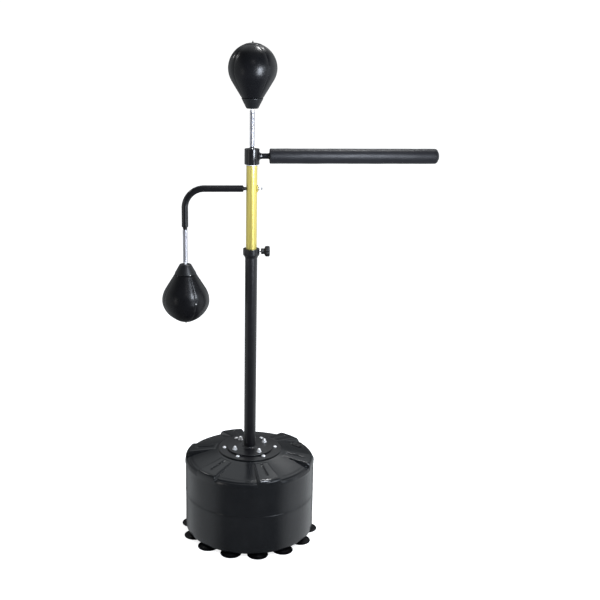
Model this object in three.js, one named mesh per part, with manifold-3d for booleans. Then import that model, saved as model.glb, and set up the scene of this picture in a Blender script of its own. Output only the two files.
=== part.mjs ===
// Free-standing boxing trainer: a spinning foam bar and two leather balls on springs, on a post that
// telescopes out of a fillable drum base standing on suction cups. Millimetres, +Z up. The origin is
// on the floor below the middle of the bounding box; the post stands at x = MAST_X, y = 0.
import * as THREE from 'three';
import { mergeVertices } from 'three/addons/utils/BufferGeometryUtils.js';
import Module from 'manifold-3d';

const wasm = await Module();
wasm.setup();

const GAP = 0.3; // clearance between pieces that touch
const DEG = Math.PI / 180;

// Suction cups
const CUP_COUNT = 14;
const CUP_RING_RADIUS = 226;
const CUP_RADIUS = 40;
const CUP_LIP = 5;
const CUP_DOME_RADIUS = 15;
const CUP_FIRST_ANGLE = -84.2 * DEG;
const CUP_STEM_RADIUS = 7;
const CUP_STEM_TOP = 21;

// Drum base
const TANK_RADIUS = 248;
const TANK_BOTTOM = 11;
const TANK_WALL = 4;
const SEAM_Z = 165;
const RIM_Z = 295;
const LIP_RADIUS = 250;
const LIP_HEIGHT = 11.5;
const LIP_ROUND = 3;
const BOSS_RADIUS = 122;
const BOSS_Z = 329.5;
const BOSS_DEPTH = 18;
const RAIL_INNER = 210;
const RAIL_TOP = 28;
const RIB_COUNT = 6;
const RIB_FIRST_ANGLE = -74.5 * DEG;
const RIB_HALF_ANGLE = 10 * DEG;
const RIB_INNER = 134;
const RIB_OUTER = 248.6;
const RIB_RISE = 13;
const RIB_ROUND = 5;
const GROOVE_RADIUS = 178;
const GROOVE_LENGTH = 74;
const GROOVE_WIDTH = 9;
const GROOVE_DEPTH = 4;

// Filler cap
const FILL_RADIUS = 209;
const FILL_ANGLE = 23 * DEG;
const FILL_BOSS_TOP = 304;
const FILL_BOSS_MARGIN = 3;
const FILL_SEAT_MARGIN = 5;
const FILL_HOLE = 17;
const FILL_PLUG = 16.4;
const FILL_CAP_RADIUS = 20.5;
const FILL_CAP_TOP = 311;
const FILL_PLUG_BOTTOM = 288;
const FILL_SLOT_LENGTH = 26;
const FILL_SLOT_WIDTH = 5;
const FILL_SLOT_DEPTH = 3;
const FILL_GRIP_COUNT = 8;
const FILL_GRIP_RADIUS = 1.6;
const GASKET_THICKNESS = 1.5;

// Plates on top of the drum
const PLATE_RADIUS = 120;
const PLATE_THICKNESS = 5;
const PLATE_Z = BOSS_Z + GAP;
const SCREW_COUNT = 6;
const SCREW_RING = 97.6;
const SCREW_SHANK = 4;
const SCREW_HEAD = 7.6;
const SCREW_HEAD_HEIGHT = 4.6;
const SCREW_DEPTH = 13;
const SCREW_EDGE_HEIGHT = 2.6;
const FLANGE_RADIUS = 87.5;
const FLANGE_THICKNESS = 6;
const FLANGE_Z = PLATE_Z + PLATE_THICKNESS + GAP;
const FLANGE_TOP = FLANGE_Z + FLANGE_THICKNESS;
const WELD_WIDTH = 5;
const STUD_COUNT = 4;
const STUD_RING = 67;
const STUD_RADIUS = 4;
const STUD_FIRST_ANGLE = 30 * DEG;
const STUD_LENGTH = 11;
const NUT_RADIUS = 7.5;
const NUT_HEX_HEIGHT = 6.5;
const NUT_DOME_RADIUS = 5.6;
const NUT_HEIGHT = 15;
const NUT_WASHER_RADIUS = 9.1;
const NUT_WASHER_THICKNESS = 1.6;

// Telescoping post
const LOWER_RADIUS = 22.5;
const LOWER_WALL = 1.2;
const LOWER_TOP = 1103;
const UPPER_RADIUS = 20;
const UPPER_WALL = 1.5;
const UPPER_BOTTOM = 726;
const UPPER_TOP = 1428;
const BUSH_LENGTH = 46;
const BUSH_RIM = 3;
const BUSH_CLEARANCE = 0.25;
const COLLAR_RADIUS = 30.3;
const COLLAR_TOP = 1123.5;
const COLLAR_LOWER_EDGE = 1101;
const COLLAR_BOTTOM = 1090;
const COLLAR_LOWER_WALL = 1.6;
const CLAMP_Z = 1113;
const CLAMP_PAD_RADIUS = 5;
const CLAMP_PAD_LENGTH = 3.2;
const CLAMP_STUD_RADIUS = 4;
const KNOB_START = 36;
const KNOB_END = 67.5;
const KNOB_HUB_RADIUS = 11;
const KNOB_HUB_LENGTH = 14;
const KNOB_RADIUS = 20;
const KNOB_LOBES = 6;
const KNOB_LOBE_DEPTH = 2;
const KNOB_BEVEL = 1.5;

// Spinning bar
const BEARING_BORE = 8.8;
const BEARING_RADIUS = 20;
const BEARING_WIDTH = 12;
const SPINDLE_RADIUS = 8.5;
const SPINDLE_SHOULDER = 12;
const SPINDLE_PLUG_LENGTH = 24;
const SPINDLE_FLANGE = 3;
const SLEEVE_RADIUS = 27;
const SLEEVE_LIP = 4;
const SLEEVE_BOTTOM = 1432;
const SLEEVE_TOP = 1487;
const LOWER_BEARING_Z = 1435.6;
const UPPER_BEARING_Z = 1471.6;
const BAR_Z = 1461;
const BAR_RADIUS = 10;
const BAR_WALL = 1.5;
const BAR_ROOT_RADIUS = 20;
const BAR_ROOT_LENGTH = 7;
const FOAM_RADIUS = 27;
const FOAM_START = 63;
const FOAM_LENGTH = 604;
const FOAM_END_ROUND = 9;
const FOAM_ROOT_ROUND = 3;
const END_CAP_RADIUS = 15;
const END_CAP_THICKNESS = 3.2;
const END_CAP_PLUG = 22;

// Springs and balls
const SPRING_RADIUS = 9;
const SPRING_WIRE = 2.6;
const SPRING_SPIGOT = 5.9;
const SPIGOT_LENGTH = 24;
const SEAT_BORE_DEPTH = 4.3;
const SEAT_FOOT = 3;
const SEAT_FOOT_RADIUS = 14;
const SEAT_DISC_RADIUS = 23;
const SEAT_HUB_RADIUS = 11;
const TOP_SPRING_START = 1494;
const TOP_SPRING_END = 1621;
const STEM_FLANGE = 1.7;
const STEM_NECK_RADIUS = 5.3;
const STEM_NECK_LENGTH = 5.8;
const BALL_COLLAR_HEIGHT = 36;
const BALL_COLLAR_SMALL = 20.5;
const BALL_MOUTH_RADIUS = 37;
const BALL_RADIUS = 85;
const BALL_TAPER = 31.8 * DEG;
const COVER_WALL = 3;
const COVER_LIP = 2.5;
const COLLAR_SPIGOT = 4.5;
const BALL_INSERT = 20;
const BLADDER_START = 14;
const BLADDER_VALVE = 4;
const BLADDER_WALL = 1.2;
const NECK_HOLE = 30;
const NUB_RADIUS = 2.3;
const NUB_LENGTH = 7;

// Side arm
const ARM_Z = 1344;
const ARM_RADIUS = 12;
const ARM_WALL = 1.8;
const ARM_START = 33;
const ARM_REACH = 241;
const ARM_BEND = 70;
const ARM_BOTTOM = 1207;
const ARM_STUD_RADIUS = 4;
const ARM_STUD_END = 38;
const ARM_NECK_RADIUS = 6;
const ARM_PLUG_LENGTH = 18;
const ARM_PLUG_RADIUS = ARM_RADIUS - ARM_WALL - 0.5;
const ARM_SHOULDER = 3;
const SADDLE_OUTER = 23.7;
const SADDLE_HALF_HEIGHT = 11.7;
const SADDLE_HALF_WIDTH = 13;
const WASHER_RADIUS = 8;
const WASHER_THICKNESS = 1.8;
const WING_HUB_RADIUS = 6.6;
const WING_SPAN = 12.4;
const WING_THICKNESS = 3;
const WING_HUB_LENGTH = 8;
const WING_LENGTH = 12.4;
const SIDE_SPRING_START = 1196;
const SIDE_SPRING_END = 1073;

// The bar reaches further out than the side ball, so the post stands off the middle of the box.
const BAR_END = FOAM_START + FOAM_LENGTH + GAP + END_CAP_THICKNESS;
const MAST_X = -(BAR_END - ARM_REACH - BALL_RADIUS) / 2;

const object = new THREE.Group();
const mast = new THREE.Group();
mast.position.x = MAST_X;
object.add(mast);

const FINISH = {
  tank: { color: 0x24282c, roughness: 0.5, metalness: 0 },
  blackPaint: { color: 0x141518, roughness: 0.35, metalness: 0.3 },
  goldPaint: { color: 0xbdb46c, roughness: 0.35, metalness: 0.7 },
  steel: { color: 0xd8d9dc, roughness: 0.22, metalness: 1 },
  blackPlastic: { color: 0x121315, roughness: 0.4, metalness: 0 },
  nylon: { color: 0xd9d6c8, roughness: 0.5, metalness: 0 },
  rubber: { color: 0x0d0d0e, roughness: 0.6, metalness: 0 },
  leather: { color: 0x17181b, roughness: 0.3, metalness: 0 },
  foam: { color: 0x1b1c1e, roughness: 0.75, metalness: 0 },
};

function addPiece(name, geometry, finish, parent = mast) {
  const mesh = new THREE.Mesh(geometry, new THREE.MeshStandardMaterial(FINISH[finish]));
  mesh.name = name;
  parent.add(mesh);
  return mesh;
}

// A closed profile of [radius, height] points, anticlockwise with +Z up, turned about the Z axis.
function turned(profile, segments = 16) {
  const points = [...profile, profile[0]].map(([r, z]) => new THREE.Vector2(r, z));
  const geometry = new THREE.LatheGeometry(points, segments);
  geometry.rotateX(Math.PI / 2);
  return geometry;
}

// A plain upright tube.
function tube(inner, outer, bottom, top, segments = 16) {
  return turned([[inner, bottom], [outer, bottom], [outer, top], [inner, top]], segments);
}

// A plain upright round bar.
function rod(radius, bottom, top, segments = 12) {
  return turned([[0, bottom], [radius, bottom], [radius, top], [0, top]], segments);
}

// Points along an arc about (r, z), from one angle to another, for use in a profile.
function arc(r, z, radius, from, to, steps) {
  const points = [];
  for (let i = 0; i <= steps; i += 1) {
    const angle = from + ((to - from) * i) / steps;
    points.push([r + radius * Math.cos(angle), z + radius * Math.sin(angle)]);
  }
  return points;
}

// Lays a shape that was turned about Z along +X instead, at height z.
function alongX(geometry, z) {
  geometry.rotateY(Math.PI / 2);
  geometry.translate(0, 0, z);
  return geometry;
}

function toSolid(geometry) {
  const bare = geometry.clone();
  bare.deleteAttribute('normal');
  bare.deleteAttribute('uv');
  const merged = mergeVertices(bare, 1e-4);
  const index = merged.index.array;
  const triangles = [];
  for (let i = 0; i < index.length; i += 3) {
    const [a, b, c] = index.slice(i, i + 3);
    if (a !== b && b !== c && c !== a) triangles.push(a, b, c);
  }
  return new wasm.Manifold(new wasm.Mesh({
    numProp: 3,
    vertProperties: new Float32Array(merged.attributes.position.array),
    triVerts: new Uint32Array(triangles),
  }));
}

function toGeometry(solid) {
  const mesh = solid.getMesh();
  const geometry = new THREE.BufferGeometry();
  geometry.setAttribute('position', new THREE.BufferAttribute(mesh.vertProperties, 3));
  geometry.setIndex(new THREE.BufferAttribute(mesh.triVerts, 1));
  return geometry;
}

// Joins and cuts geometries: the first, plus the added ones, minus the removed ones.
function shaped(base, added, removed) {
  let solid = toSolid(base);
  for (const piece of added) solid = solid.add(toSolid(piece));
  for (const piece of removed) solid = solid.subtract(toSolid(piece));
  return toGeometry(solid);
}

function placed(geometry, radius, angle) {
  return geometry.translate(radius * Math.cos(angle), radius * Math.sin(angle), 0);
}

function ring(count, first, make) {
  return Array.from({ length: count }, (_, i) => make(first + (i * 2 * Math.PI) / count, i + 1));
}

// A pie slice of the space around the mast, between two heights.
function sector(angle, halfAngle, inner, outer, bottom, top) {
  const shape = new THREE.Shape();
  shape.moveTo(inner * Math.cos(angle - halfAngle), inner * Math.sin(angle - halfAngle));
  for (let i = -1; i <= 1; i += 1) {
    const a = angle + halfAngle * i;
    shape.lineTo(outer * Math.cos(a), outer * Math.sin(a));
  }
  shape.lineTo(inner * Math.cos(angle + halfAngle), inner * Math.sin(angle + halfAngle));
  const geometry = new THREE.ExtrudeGeometry(shape, { depth: top - bottom, bevelEnabled: false });
  return geometry.translate(0, 0, bottom);
}

function coneHeight(r) {
  return RIM_Z + ((TANK_RADIUS - r) * (BOSS_Z - RIM_Z)) / (TANK_RADIUS - BOSS_RADIUS);
}

// The ribs' tops rise from just above the cone to their rounded outer ends.
function ribSlope() {
  const rise = coneHeight(RIB_INNER) + 0.5 - (RIM_Z + RIB_RISE);
  return Math.atan2(rise, RIB_OUTER - RIB_ROUND - RIB_INNER);
}

function ribHeight(r) {
  return RIM_Z + RIB_RISE + (RIB_OUTER - RIB_ROUND - r) * Math.tan(ribSlope());
}

function tankOuter(segments) {
  return turned([
    [0, TANK_BOTTOM],
    ...arc(TANK_RADIUS - 8, TANK_BOTTOM + 8, 8, -Math.PI / 2, 0, 1),
    [TANK_RADIUS, SEAM_Z - 1.5],
    [TANK_RADIUS - 1.2, SEAM_Z],
    [TANK_RADIUS, SEAM_Z + 1.5],
    [TANK_RADIUS, RIM_Z],
    [BOSS_RADIUS, BOSS_Z],
    [0, BOSS_Z],
  ], segments);
}

function tankHollow(segments) {
  const inside = TANK_RADIUS - TANK_WALL;
  return turned([
    [0, TANK_BOTTOM + TANK_WALL],
    [RAIL_INNER, TANK_BOTTOM + TANK_WALL],
    [RAIL_INNER, RAIL_TOP],
    [inside, RAIL_TOP],
    [inside, coneHeight(inside) - TANK_WALL],
    [BOSS_RADIUS + 10, coneHeight(BOSS_RADIUS + 10) - TANK_WALL],
    [BOSS_RADIUS + 4, BOSS_Z - BOSS_DEPTH],
    [0, BOSS_Z - BOSS_DEPTH],
  ], segments);
}

function makeTank() {
  const segments = 40;
  const lipBottom = RIM_Z - LIP_HEIGHT;
  const lip = turned([
    [TANK_RADIUS - LIP_ROUND, lipBottom],
    [LIP_RADIUS - 1, lipBottom],
    [LIP_RADIUS, lipBottom + 2],
    [LIP_RADIUS, RIM_Z - LIP_ROUND],
    [LIP_RADIUS - LIP_ROUND, RIM_Z],
    [TANK_RADIUS - LIP_ROUND, RIM_Z],
  ], segments);
  const ribForm = toSolid(turned([
    [RIB_INNER, lipBottom - 6],
    [RIB_OUTER, lipBottom - 6],
    [RIB_OUTER, RIM_Z + RIB_RISE - RIB_ROUND],
    [RIB_OUTER - RIB_ROUND, RIM_Z + RIB_RISE],
    [RIB_INNER, ribHeight(RIB_INNER)],
  ], segments).rotateZ(Math.PI / segments));
  const slice = (angle, halfAngle) => toSolid(
    sector(angle, halfAngle, RIB_INNER - 10, LIP_RADIUS + 10, RIM_Z - 40, BOSS_Z + 10));
  const grooveHeight = 12;
  const grooveFloor = ribHeight(GROOVE_RADIUS) - GROOVE_DEPTH;
  let solid = toSolid(tankOuter(segments));
  let lips = toSolid(lip);
  ring(RIB_COUNT, RIB_FIRST_ANGLE, (angle) => {
    solid = solid.add(ribForm.intersect(slice(angle, RIB_HALF_ANGLE)));
    lips = lips.subtract(slice(angle, RIB_HALF_ANGLE - 0.3 * DEG));
    const groove = new THREE.BoxGeometry(GROOVE_LENGTH, GROOVE_WIDTH, grooveHeight);
    groove.rotateY(ribSlope()).translate(GROOVE_RADIUS, 0, grooveFloor + grooveHeight / 2).rotateZ(angle);
    solid = solid.subtract(toSolid(groove));
  });
  solid = solid.add(lips);
  const fillBoss = placed(rod(FILL_CAP_RADIUS + FILL_BOSS_MARGIN, RIM_Z - 6, FILL_BOSS_TOP + 3),
    FILL_RADIUS, FILL_ANGLE);
  const fillSeat = placed(rod(FILL_CAP_RADIUS + FILL_SEAT_MARGIN, FILL_BOSS_TOP, BOSS_Z),
    FILL_RADIUS, FILL_ANGLE);
  const fillHole = placed(rod(FILL_HOLE, RIM_Z - 30, FILL_BOSS_TOP + 5), FILL_RADIUS, FILL_ANGLE);
  solid = solid.add(toSolid(fillBoss));
  solid = solid.subtract(toSolid(tankHollow(segments)));
  solid = solid.subtract(toSolid(fillSeat));
  solid = solid.subtract(toSolid(fillHole));
  ring(CUP_COUNT, CUP_FIRST_ANGLE, (angle) => {
    const pocket = rod(CUP_STEM_RADIUS + GAP, TANK_BOTTOM - 5, CUP_STEM_TOP + GAP, 10);
    pocket.rotateZ(angle);
    solid = solid.subtract(toSolid(placed(pocket, CUP_RING_RADIUS, angle)));
  });
  ring(SCREW_COUNT, 0, (angle) => {
    const hole = rod(SCREW_SHANK + GAP, BOSS_Z - SCREW_DEPTH, BOSS_Z + 5, 10);
    solid = solid.subtract(toSolid(placed(hole, SCREW_RING, angle)));
  });
  addPiece('base_tank', toGeometry(solid), 'tank');
}

function makeCups() {
  ring(CUP_COUNT, CUP_FIRST_ANGLE, (angle, number) => {
    const neck = TANK_BOTTOM - GAP;
    const profile = [
      [0, 4],
      [CUP_RADIUS - CUP_LIP, 0],
      [CUP_RADIUS, 0],
      [CUP_DOME_RADIUS, neck],
      [CUP_STEM_RADIUS, neck],
      [CUP_STEM_RADIUS, CUP_STEM_TOP],
      [0, CUP_STEM_TOP],
    ];
    const cup = turned(profile, 10).rotateZ(angle);
    addPiece(`suction_cup_${String(number).padStart(2, '0')}`,
      placed(cup, CUP_RING_RADIUS, angle), 'rubber');
  });
}

function makeFillCap() {
  const gasketTop = FILL_BOSS_TOP + GAP + GASKET_THICKNESS;
  const gasket = tube(FILL_HOLE, FILL_CAP_RADIUS, FILL_BOSS_TOP + GAP, gasketTop, 20);
  addPiece('fill_cap_gasket', placed(gasket, FILL_RADIUS, FILL_ANGLE), 'rubber');
  const underside = gasketTop + GAP;
  const body = turned([
    [0, FILL_PLUG_BOTTOM],
    [FILL_PLUG - 1, FILL_PLUG_BOTTOM],
    [FILL_PLUG, FILL_PLUG_BOTTOM + 1],
    [FILL_PLUG, underside],
    [FILL_CAP_RADIUS, underside],
    [FILL_CAP_RADIUS, FILL_CAP_TOP - 2],
    [FILL_CAP_RADIUS - 2, FILL_CAP_TOP],
    [0, FILL_CAP_TOP],
  ], 20);
  const slot = new THREE.BoxGeometry(FILL_SLOT_LENGTH, FILL_SLOT_WIDTH, 2 * FILL_SLOT_DEPTH)
    .translate(0, 0, FILL_CAP_TOP);
  const notches = ring(FILL_GRIP_COUNT, 0, (angle) => placed(
    rod(FILL_GRIP_RADIUS, underside - 5, FILL_CAP_TOP + 5, 6), FILL_CAP_RADIUS + 0.4, angle));
  addPiece('fill_cap', placed(shaped(body, [], [slot, ...notches]), FILL_RADIUS, FILL_ANGLE), 'blackPlastic');
}

function makePlates() {
  const top = PLATE_Z + PLATE_THICKNESS;
  const screwHoles = ring(SCREW_COUNT, 0, (angle) => placed(
    rod(SCREW_SHANK + GAP, PLATE_Z - 5, top + 5, 10), SCREW_RING, angle));
  const studs = ring(STUD_COUNT, STUD_FIRST_ANGLE, (angle) => placed(
    rod(STUD_RADIUS, top - 1, FLANGE_TOP + STUD_LENGTH, 10), STUD_RING, angle));
  const disc = turned([
    [0, PLATE_Z],
    [PLATE_RADIUS, PLATE_Z],
    [PLATE_RADIUS, top - 1],
    [PLATE_RADIUS - 1, top],
    [0, top],
  ], 36);
  addPiece('base_plate', shaped(disc, studs, screwHoles), 'blackPaint');
  ring(SCREW_COUNT, 0, (angle, number) => {
    const seat = top + GAP;
    const screw = turned([
      [0, BOSS_Z - SCREW_DEPTH + GAP],
      [SCREW_SHANK, BOSS_Z - SCREW_DEPTH + GAP],
      [SCREW_SHANK, seat],
      [SCREW_HEAD, seat],
      [SCREW_HEAD - 1, seat + SCREW_EDGE_HEIGHT],
      [SCREW_HEAD / 2, seat + SCREW_HEAD_HEIGHT],
      [0, seat + SCREW_HEAD_HEIGHT],
    ], 10);
    addPiece(`plate_screw_${number}`, placed(screw, SCREW_RING, angle), 'steel');
  });
  const bore = LOWER_RADIUS + GAP;
  const flange = turned([
    [bore, FLANGE_Z],
    [FLANGE_RADIUS, FLANGE_Z],
    [FLANGE_RADIUS, FLANGE_TOP - 1],
    [FLANGE_RADIUS - 1, FLANGE_TOP],
    [bore + WELD_WIDTH, FLANGE_TOP],
    [bore + 1.2, FLANGE_TOP + WELD_WIDTH],
    [bore, FLANGE_TOP + WELD_WIDTH],
  ], 28);
  const studHoles = ring(STUD_COUNT, STUD_FIRST_ANGLE, (angle) => placed(
    rod(STUD_RADIUS + GAP, FLANGE_Z - 5, FLANGE_TOP + 5, 10), STUD_RING, angle));
  addPiece('mast_flange', shaped(flange, [], studHoles), 'blackPaint');
  ring(STUD_COUNT, STUD_FIRST_ANGLE, (angle, number) => {
    const seat = FLANGE_TOP + GAP;
    const hexBottom = seat + NUT_WASHER_THICKNESS - 0.1;
    const hex = turned([
      [0, hexBottom],
      [NUT_RADIUS, hexBottom],
      [NUT_RADIUS, seat + NUT_HEX_HEIGHT],
      [0, seat + NUT_HEX_HEIGHT],
    ], 6);
    const washer = rod(NUT_WASHER_RADIUS, seat, seat + NUT_WASHER_THICKNESS);
    const domeCentre = seat + NUT_HEIGHT - NUT_DOME_RADIUS;
    const dome = turned([
      [0, seat + 3],
      [NUT_DOME_RADIUS, seat + 3],
      ...arc(0, domeCentre, NUT_DOME_RADIUS, 0, Math.PI / 2, 2),
    ], 10);
    const thread = rod(STUD_RADIUS + GAP, seat - 2, FLANGE_TOP + STUD_LENGTH + GAP, 10);
    const nut = shaped(hex, [washer, dome], [thread]);
    addPiece(`flange_nut_${number}`, placed(nut.rotateZ(angle), STUD_RING, angle), 'steel');
  });
}

function makeLowerPost() {
  const bore = LOWER_RADIUS - LOWER_WALL;
  addPiece('lower_tube', tube(bore, LOWER_RADIUS, FLANGE_Z + GAP, LOWER_TOP), 'blackPaint');
  const bushTop = LOWER_TOP + BUSH_RIM;
  const bushBore = UPPER_RADIUS + BUSH_CLEARANCE;
  const bush = turned([
    [bushBore, bushTop - BUSH_LENGTH],
    [bore - 0.05, bushTop - BUSH_LENGTH],
    [bore - 0.05, LOWER_TOP + GAP],
    [LOWER_RADIUS - 0.2, LOWER_TOP + GAP],
    [LOWER_RADIUS - 0.2, bushTop],
    [bushBore, bushTop],
  ]);
  addPiece('guide_bush', bush, 'nylon');
  const collar = turned([
    [LOWER_RADIUS + GAP, COLLAR_BOTTOM],
    [LOWER_RADIUS + COLLAR_LOWER_WALL, COLLAR_BOTTOM],
    [COLLAR_RADIUS, COLLAR_LOWER_EDGE],
    [COLLAR_RADIUS, COLLAR_TOP - 1.5],
    [COLLAR_RADIUS - 1.5, COLLAR_TOP],
    [UPPER_RADIUS + 0.5, COLLAR_TOP],
    [UPPER_RADIUS + 0.5, bushTop + GAP],
    [LOWER_RADIUS + GAP, bushTop + GAP],
  ]);
  const clampHole = alongX(rod(CLAMP_PAD_RADIUS + GAP, 10, 40, 16), CLAMP_Z);
  addPiece('tube_collar', shaped(collar, [], [clampHole]), 'blackPaint');
}

function makeClamp() {
  const padStart = UPPER_RADIUS + GAP;
  const padEnd = padStart + CLAMP_PAD_LENGTH;
  addPiece('clamp_pad', alongX(rod(CLAMP_PAD_RADIUS, padStart, padEnd, 16), CLAMP_Z), 'nylon');
  const studEnd = KNOB_START + KNOB_HUB_LENGTH;
  addPiece('clamp_stud', alongX(rod(CLAMP_STUD_RADIUS, padEnd + GAP, studEnd, 16), CLAMP_Z), 'steel');
  const hubEnd = KNOB_START + KNOB_HUB_LENGTH + 1;
  const hub = turned([
    [0, KNOB_START],
    [KNOB_HUB_RADIUS - 1, KNOB_START],
    [KNOB_HUB_RADIUS, KNOB_START + 1],
    [KNOB_HUB_RADIUS, hubEnd],
    [0, hubEnd],
  ], 20);
  const star = new THREE.Shape();
  const steps = KNOB_LOBES * 6;
  for (let i = 0; i < steps; i += 1) {
    const a = (i * 2 * Math.PI) / steps;
    const r = KNOB_RADIUS - KNOB_LOBE_DEPTH * (1 - Math.cos(KNOB_LOBES * a));
    if (i === 0) star.moveTo(r, 0);
    else star.lineTo(r * Math.cos(a), r * Math.sin(a));
  }
  const headLength = KNOB_END - KNOB_START - KNOB_HUB_LENGTH;
  const head = new THREE.ExtrudeGeometry(star, {
    depth: headLength - 2 * KNOB_BEVEL, bevelEnabled: true, bevelThickness: KNOB_BEVEL,
    bevelSize: KNOB_BEVEL, bevelOffset: -KNOB_BEVEL, bevelSegments: 1,
  }).translate(0, 0, KNOB_START + KNOB_HUB_LENGTH + KNOB_BEVEL);
  const socket = rod(CLAMP_STUD_RADIUS + GAP, KNOB_START - 5, studEnd + GAP, 16);
  addPiece('clamp_knob', alongX(shaped(hub, [head], [socket]), CLAMP_Z), 'blackPlastic');
}

function makeUpperPost() {
  const bore = UPPER_RADIUS - UPPER_WALL;
  const armHole = alongX(rod(ARM_STUD_RADIUS + 1, -40, 40, 12), ARM_Z);
  const post = tube(bore, UPPER_RADIUS, UPPER_BOTTOM, UPPER_TOP);
  addPiece('upper_tube', shaped(post, [], [armHole]), 'goldPaint');
  const shoulder = LOWER_BEARING_Z - GAP;
  addPiece('spindle', turned([
    [0, UPPER_TOP - SPINDLE_PLUG_LENGTH],
    [bore - GAP, UPPER_TOP - SPINDLE_PLUG_LENGTH],
    [bore - GAP, UPPER_TOP + GAP],
    [UPPER_RADIUS, UPPER_TOP + GAP],
    [UPPER_RADIUS, UPPER_TOP + SPINDLE_FLANGE],
    [SPINDLE_SHOULDER, UPPER_TOP + SPINDLE_FLANGE],
    [SPINDLE_SHOULDER, shoulder],
    [SPINDLE_RADIUS, shoulder],
    [SPINDLE_RADIUS, SLEEVE_TOP + 4],
    [0, SLEEVE_TOP + 4],
  ]), 'steel');
  const bearing = (z) => turned([
    [BEARING_BORE, z],
    [BEARING_BORE + 3, z],
    [BEARING_BORE + 4, z + 0.8],
    [BEARING_RADIUS - 3, z],
    [BEARING_RADIUS, z],
    [BEARING_RADIUS, z + BEARING_WIDTH],
    [BEARING_BORE, z + BEARING_WIDTH],
  ], 20);
  addPiece('lower_bearing', bearing(LOWER_BEARING_Z), 'steel');
  addPiece('upper_bearing', bearing(UPPER_BEARING_Z), 'steel');
}

function makeSpinner() {
  const seat = BEARING_RADIUS + GAP;
  const innerLip = seat - SLEEVE_LIP;
  addPiece('spinner_sleeve', turned([
    [seat, SLEEVE_BOTTOM],
    [SLEEVE_RADIUS - 1, SLEEVE_BOTTOM],
    [SLEEVE_RADIUS, SLEEVE_BOTTOM + 1],
    [SLEEVE_RADIUS, SLEEVE_TOP - 1],
    [SLEEVE_RADIUS - 1, SLEEVE_TOP],
    [seat, SLEEVE_TOP],
    [seat, UPPER_BEARING_Z - GAP],
    [innerLip, UPPER_BEARING_Z - GAP],
    [innerLip, LOWER_BEARING_Z + BEARING_WIDTH + GAP],
    [seat, LOWER_BEARING_Z + BEARING_WIDTH + GAP],
  ], 24), 'blackPaint');
  const rootStart = BAR_ROOT_RADIUS - 5;
  const rootEnd = SLEEVE_RADIUS + BAR_ROOT_LENGTH;
  const foamEnd = FOAM_START + FOAM_LENGTH;
  const root = turned([
    [0, rootStart],
    [BAR_ROOT_RADIUS, rootStart],
    [BAR_ROOT_RADIUS, SLEEVE_RADIUS + 1],
    [BAR_RADIUS, rootEnd],
    [0, rootEnd],
  ]);
  const shaft = rod(BAR_RADIUS, rootEnd - 3, foamEnd - 2, 16);
  const bore = rod(BAR_RADIUS - BAR_WALL, rootEnd - 2, foamEnd + 5, 16);
  const bar = alongX(shaped(root, [shaft], [bore]), BAR_Z);
  const sleeveSpace = rod(SLEEVE_RADIUS + GAP, SLEEVE_BOTTOM - 20, SLEEVE_TOP + 20, 24);
  addPiece('bar_tube', shaped(bar, [], [sleeveSpace]), 'blackPaint');
  const hole = BAR_RADIUS + GAP;
  const foam = turned([
    [hole, FOAM_START],
    ...arc(FOAM_RADIUS - FOAM_ROOT_ROUND, FOAM_START + FOAM_ROOT_ROUND, FOAM_ROOT_ROUND, -Math.PI / 2, 0, 2),
    ...arc(FOAM_RADIUS - FOAM_END_ROUND, foamEnd - FOAM_END_ROUND, FOAM_END_ROUND, 0, Math.PI / 2, 3),
    [hole, foamEnd],
  ], 20);
  addPiece('bar_foam', alongX(foam, BAR_Z), 'foam');
  const plug = BAR_RADIUS - BAR_WALL - GAP;
  addPiece('bar_end_cap', alongX(turned([
    [0, foamEnd - END_CAP_PLUG],
    [plug, foamEnd - END_CAP_PLUG],
    [plug, foamEnd + GAP],
    [END_CAP_RADIUS, foamEnd + GAP],
    [END_CAP_RADIUS - 2, BAR_END],
    [0, BAR_END],
  ]), BAR_Z), 'blackPlastic');
}

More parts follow.
